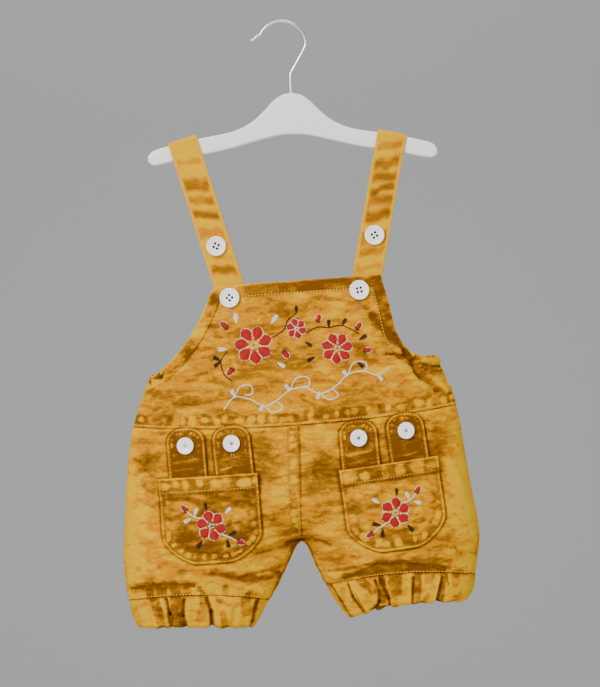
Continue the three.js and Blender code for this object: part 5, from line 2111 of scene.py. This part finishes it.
class Threads:
    """Collects the stitches of a sprig by thread colour, drawn flat before they are laid on the cloth."""

    def __init__(self):
        self.rows = {"red": [], "white": [], "dark": []}

    def stitch(self, color, x1, up1, x2, up2, width=0.7, rise=0.3):
        self.rows[color].append((x1, up1, x2, up2, width, rise))

    def rope(self, color, line, width=0.8):
        """Slanting stitches close together along a curve, as stem stitch."""
        line = evenly(through_points(np.array(line, float), 12), 0.8)
        way = np.gradient(line, axis=0)
        angles = np.arctan2(way[:, 1], way[:, 0]) + 0.4
        for (x, up), a in zip(line, angles):
            dx, dup = 1.1 * cos(a), 1.1 * sin(a)
            self.stitch(color, x - dx, up - dup, x + dx, up + dup, width, 0.25)

    def petal(self, x, up, angle, length, width):
        """Red satin stitch from edge to edge, with a white outline."""
        for t in np.arange(0.06, 0.97, 0.62 / length):
            half = width / 2 * petal_half(t)
            ax, au = turn_by(length * t - 0.35 * half, -half, angle)
            bx, bu = turn_by(length * t + 0.35 * half, half, angle)
            self.stitch("red", x + ax, up + au, x + bx, up + bu, 0.75, 0.35 + 0.3 * petal_half(t))
        for side in (-1, 1):
            rim = [
                turn_by(length * t, side * (width / 2 * petal_half(t) + 0.5), angle)
                for t in np.linspace(0.05, 1.04, 7)
            ]
            for (ax, au), (bx, bu) in zip(rim, rim[1:]):
                self.stitch("white", x + ax, up + au, x + bx, up + bu, 0.6, 0.15)

    def leaf(self, color, x, up, angle, length, width=None):
        """Two rows of slanting satin stitch that meet on the vein."""
        width = width or 0.42 * length
        for t in np.arange(0.0, 0.8, 0.66 / length):
            half = width / 2 * petal_half(0.12 + t)
            ax, au = turn_by(length * t, 0, angle)
            for side in (-1, 1):
                bx, bu = turn_by(length * (t + 0.2), side * half, angle)
                self.stitch(color, x + ax, up + au, x + bx, up + bu, 0.7, 0.3)

    def blossom(self, x, up, radius, petals, turn):
        """A round flower with a knotted middle."""
        for k in range(petals):
            angle = turn + 2 * pi * k / petals
            inner = radius * 0.26
            px, pu = x + inner * cos(angle), up + inner * sin(angle)
            self.petal(px, pu, angle, radius - inner, 4.3 * radius / petals)
        for k in range(9):
            a = 2.4 * k
            reach = 0.075 * radius * sqrt(k)
            cx, cu = x + reach * cos(a), up + reach * sin(a)
            self.stitch("white" if k else "dark", cx - 0.7, cu, cx + 0.7, cu, 1.4, 0.5)

    def bud(self, x, up, angle, length):
        self.petal(x, up, angle, length, 0.55 * length)
        for side in (-0.7, 0.7):
            self.leaf("dark", x, up, angle + side, 0.5 * length, 0.2 * length)

    def lay(self, name, place, materials):
        """Lays the stitches on the cloth, one mesh for each thread."""
        for color, rows in self.rows.items():
            rows = np.array(rows)
            starts, normals = place(rows[:, 0], rows[:, 1])
            ends, _ = place(rows[:, 2], rows[:, 3])
            sew(f"embroidery_{name}_{color}", starts, ends, normals, rows[:, 4], rows[:, 5], materials[color])


def petal_half(t):
    """Half the width of a petal along its length, from 0 to 1."""
    return sin(pi * min(max(t, 0), 1) ** 1.25) ** 0.7


def turn_by(x, up, angle):
    return x * cos(angle) - up * sin(angle), x * sin(angle) + up * cos(angle)


Sprig = namedtuple("Sprig", "kind color x up angle size")
BIB_SPRIGS = table(Sprig, """
blossom red -44 -288 0.3 17
blossom red 30 -296 0.1 14
blossom red -5 -276 0.7 9
bud red -66 -272 2.3 9
bud red -63 -307 3.9 9
bud red -18 -294 5.2 9
bud red 14 -272 1.2 8
bud red 48 -281 0.9 8
bud red 53 -300 0.1 8
leaf white -58 -268 1.6 10
leaf white -27 -270 0.9 10
leaf white -68 -290 3.1 9
leaf white -24 -305 5.7 9
leaf dark -74 -300 2.6 9
leaf dark -74 -300 3.8 9
leaf dark -4 -262 1.5 7
leaf dark 2 -288 5.6 8
leaf dark 10 -302 3.6 9
leaf dark 24 -277 1.5 8
leaf dark 36 -276 1 8
leaf dark 50 -290 0.5 9
leaf dark 47 -309 5.5 9
leaf white -64 -333 1.9 8
leaf white -38 -341 4 8
leaf white -14 -331 2.2 8
leaf white 12 -333 4.3 8
leaf white 38 -322 2.2 8
leaf white 64 -322 5.4 8
""")
BIB_STEMS = [
    ("dark", [(-68, -292), (-74, -300), (-72, -312), (-66, -318)]),
    ("dark", [(-26, -282), (-16, -276), (-12, -268), (-4, -262)]),
    ("dark", [(4, -280), (14, -276), (24, -277), (36, -276), (50, -284)]),
    ("white", [(-74, -343), (-64, -333), (-50, -336), (-38, -343), (-26, -338), (-14, -330), (0, -329)]
     + [(12, -335), (26, -330), (38, -320), (52, -318), (64, -322), (76, -316)]),
    ("white", [(-64, -333), (-58, -324), (-49, -324), (-48, -331), (-54, -332)]),
    ("white", [(-38, -343), (-30, -349), (-22, -345), (-26, -340)]),
    ("white", [(-14, -330), (-8, -320), (2, -320), (3, -327), (-3, -328)]),
    ("white", [(12, -335), (20, -341), (28, -338), (24, -332)]),
    ("white", [(38, -320), (44, -310), (54, -310), (55, -316), (49, -318)]),
]
POCKET_SPRIGS = table(Sprig, """
blossom red 0 0 0.3 13
bud red 20 13 0.9 7.5
bud red -21 -14 3.6 7.5
leaf white 14 9 1.9 8
leaf white 17 7 5.9 8
leaf white -13 10 2.4 8
leaf dark -14 -9 2.8 9
leaf dark -13 -12 4.6 9
leaf dark 9 -12 5.3 9
leaf dark 3 14 1.4 7
""")
POCKET_SPRIG_DOWN = 44
POCKET_STEMS = [("white", [(-22, -15), (-16, -11), (-9, -8)]), ("white", [(9, 7), (15, 9), (21, 14)])]


def embroider(sprigs, stems, mirror=1):
    threads = Threads()
    for color, line in stems:
        threads.rope(color, [(mirror * x, up) for x, up in line])
    for item in sprigs:
        angle = item.angle if mirror > 0 else pi - item.angle
        x = mirror * item.x
        if item.kind == "blossom":
            threads.blossom(x, item.up, item.size, 7 if item.size > 13 else 6, angle)
        elif item.kind == "bud":
            threads.bud(x, item.up, angle, item.size)
        else:
            threads.leaf(item.color, x, item.up, angle, item.size)
    return threads


class DUNGAREES_OT_embroidery(bpy.types.Operator):
    """Embroider plain flower sprigs on the bib and the pockets"""

    bl_idname = "dungarees.embroidery"
    bl_label = "Embroidery"

    def execute(self, context):
        sprig = context.scene.dungarees_sprig
        materials = {
            "red": material_once("petal_thread", thread_material, sprig.petal, 0.45),
            "white": material_once("outline_thread", thread_material, sprig.outline, 0.5),
            "dark": material_once("leaf_thread", thread_material, sprig.leaf, 0.5),
        }
        embroider(BIB_SPRIGS, BIB_STEMS).lay(
            "bib", lambda x, up: on_cloth(FRONT, x, up, sprig.proud / MM), materials
        )
        for pocket in POCKETS:

            def on_pocket(x, up):
                return on_patch(pocket_dress, pocket, x, POCKET_SPRIG_DOWN - up, sprig.proud / MM)

            embroider(POCKET_SPRIGS, POCKET_STEMS, pocket.side).lay(
                f"pocket_{pocket.name}", on_pocket, materials
            )
        return {"FINISHED"}


class DUNGAREES_OT_hanger(bpy.types.Operator):
    """Make the moulded hanger and its wire hook"""

    bl_idname = "dungarees.hanger"
    bl_label = "Hanger"

    def execute(self, context):
        trim = context.scene.dungarees_trim
        steps = np.concatenate(
            [np.linspace(0, 60, 41), np.linspace(60, 118, 30)[1:], np.linspace(118, HANGER_END, 14)[1:]]
        )
        outline = []
        for read, side, run in (
            (ARM_TOP, 1, steps),
            (ARM_BOTTOM, 1, steps[::-1]),
            (ARM_BOTTOM, -1, steps[1:]),
            (ARM_TOP, -1, steps[::-1][:-1]),
        ):
            for x in run:
                height = float(read(x))
                along = side * x
                outline.append(
                    (
                        HANGER_PEAK_X + along + height * HANGER_TILT,
                        HANGER_PEAK_Z + height - along * HANGER_TILT
                    )
                )
        bpy.ops.object.select_all(action="DESELECT")
        bpy.ops.mesh.primitive_circle_add(vertices=len(outline), radius=0.1, fill_type="NGON")
        plate = bpy.context.active_object
        plate.name = "hanger_moulding"
        for vertex, (x, z) in zip(plate.data.vertices, outline):
            vertex.co = (x * MM, -HANGER_THICK / 2 * MM, z * MM)
        edit(plate)
        bpy.ops.mesh.select_all(action="SELECT")
        bpy.ops.mesh.extrude_region_move(TRANSFORM_OT_translate={"value": (0, HANGER_THICK * MM, 0)})
        bpy.ops.mesh.select_all(action="SELECT")
        bpy.ops.mesh.normals_make_consistent(inside=False)
        bpy.ops.object.mode_set(mode="OBJECT")
        bpy.ops.object.select_all(action="DESELECT")
        bpy.ops.mesh.primitive_cylinder_add(
            vertices=32,
            radius=(HOOK_WIRE + SEAM) * MM,
            depth=2 * HANGER_SOCKET * MM,
            location=(HANGER_PEAK_X * MM, 0, HANGER_PEAK_Z * MM),
            rotation=(0, atan(HANGER_TILT), 0),
        )
        socket = bpy.context.active_object
        add_bevel(plate, HANGER_BEVEL, 5, 50)
        hole = plate.modifiers.new("hook_socket", "BOOLEAN")
        hole.operation = "DIFFERENCE"
        hole.object = socket
        apply_modifiers(plate)
        bpy.data.objects.remove(socket)
        select_only(plate)
        bpy.ops.object.shade_smooth_by_angle(angle=radians(30))
        plate.select_set(False)
        plate.data.materials.append(
            material_once("hanger_plastic", plastic_material, trim.hanger, 0.38, 0.02)
        )
        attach(plate, "root")
        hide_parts("hanger_plate")

        bend_z = HOOK_WIRE - HOOK_BEND
        arc = [
            (HOOK_BEND_X + HOOK_BEND * cos(a), bend_z + HOOK_BEND * sin(a))
            for a in np.radians(np.linspace(HOOK_START, HOOK_STOP, 14))
        ]
        end = HANGER_SOCKET - SEAM
        route = HOOK_TIP + arc + HOOK_LEG + [(HANGER_PEAK_X, HANGER_PEAK_Z)]
        route.append((HANGER_PEAK_X - end * HANGER_TILT, HANGER_PEAK_Z - end))
        curve = bpy.data.curves.new("hook", "CURVE")
        curve.dimensions = "3D"
        line = through_points(np.array(route, float), 6)
        spline = curve.splines.new("POLY")
        spline.points.add(len(line) - 1)
        for point, (x, z) in zip(spline.points, line):
            point.co = (x * MM, 0, z * MM, 1)
        curve.bevel_depth = HOOK_WIRE * MM
        curve.bevel_resolution = 6
        curve.use_fill_caps = True
        hook = bpy.data.objects.new("hook_wire", curve)
        context.scene.collection.objects.link(hook)
        select_only(hook)
        bpy.ops.object.convert(target="MESH")
        hook = bpy.context.active_object
        bpy.ops.object.shade_smooth_by_angle(angle=radians(40))
        hook.data.materials.clear()
        hook.data.materials.append(material_once("hook_steel", steel_material, trim.steel))
        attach(hook, "root")
        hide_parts("hanger_hook")
        return {"FINISHED"}


class DUNGAREES_PT_panel(bpy.types.Panel):
    """Lists the settings and the pieces"""

    bl_idname = "DUNGAREES_PT_panel"
    bl_label = "Dungarees"
    bl_space_type = "VIEW_3D"
    bl_region_type = "UI"
    bl_category = "Dungarees"

    def draw(self, context):
        for name, group in SETTINGS.items():
            settings = getattr(context.scene, name)
            box = self.layout.box()
            for key in group.__annotations__:
                box.prop(settings, key)
        for operator in OPERATORS:
            self.layout.operator(operator.bl_idname)


SETTINGS = {
    "dungarees_cloth": ClothSettings,
    "dungarees_stitch": StitchSettings,
    "dungarees_sprig": SprigSettings,
    "dungarees_trim": TrimSettings,
    "dungarees_stage": StageSettings,
}
OPERATORS = (
    DUNGAREES_OT_stage,
    DUNGAREES_OT_bib,
    DUNGAREES_OT_legs,
    DUNGAREES_OT_cuffs,
    DUNGAREES_OT_back_band,
    DUNGAREES_OT_pockets,
    DUNGAREES_OT_tabs,
    DUNGAREES_OT_straps,
    DUNGAREES_OT_buttons,
    DUNGAREES_OT_topstitching,
    DUNGAREES_OT_buttonholes,
    DUNGAREES_OT_embroidery,
    DUNGAREES_OT_hanger,
)


def register():
    for item in (*SETTINGS.values(), *OPERATORS, DUNGAREES_PT_panel):
        bpy.utils.register_class(item)
    for name, group in SETTINGS.items():
        setattr(bpy.types.Scene, name, bpy.props.PointerProperty(type=group))


def unregister():
    for name in SETTINGS:
        delattr(bpy.types.Scene, name)
    for item in reversed((*SETTINGS.values(), *OPERATORS, DUNGAREES_PT_panel)):
        bpy.utils.unregister_class(item)


def main():
    register()
    bpy.ops.dungarees.stage()
    bpy.ops.dungarees.bib()
    bpy.ops.dungarees.legs()
    bpy.ops.dungarees.cuffs()
    bpy.ops.dungarees.back_band()
    bpy.ops.dungarees.pockets()
    bpy.ops.dungarees.tabs()
    bpy.ops.dungarees.straps()
    bpy.ops.dungarees.buttons()
    bpy.ops.dungarees.topstitching()
    bpy.ops.dungarees.buttonholes()
    bpy.ops.dungarees.embroidery()
    bpy.ops.dungarees.hanger()


if __name__ == "__main__":
    main()
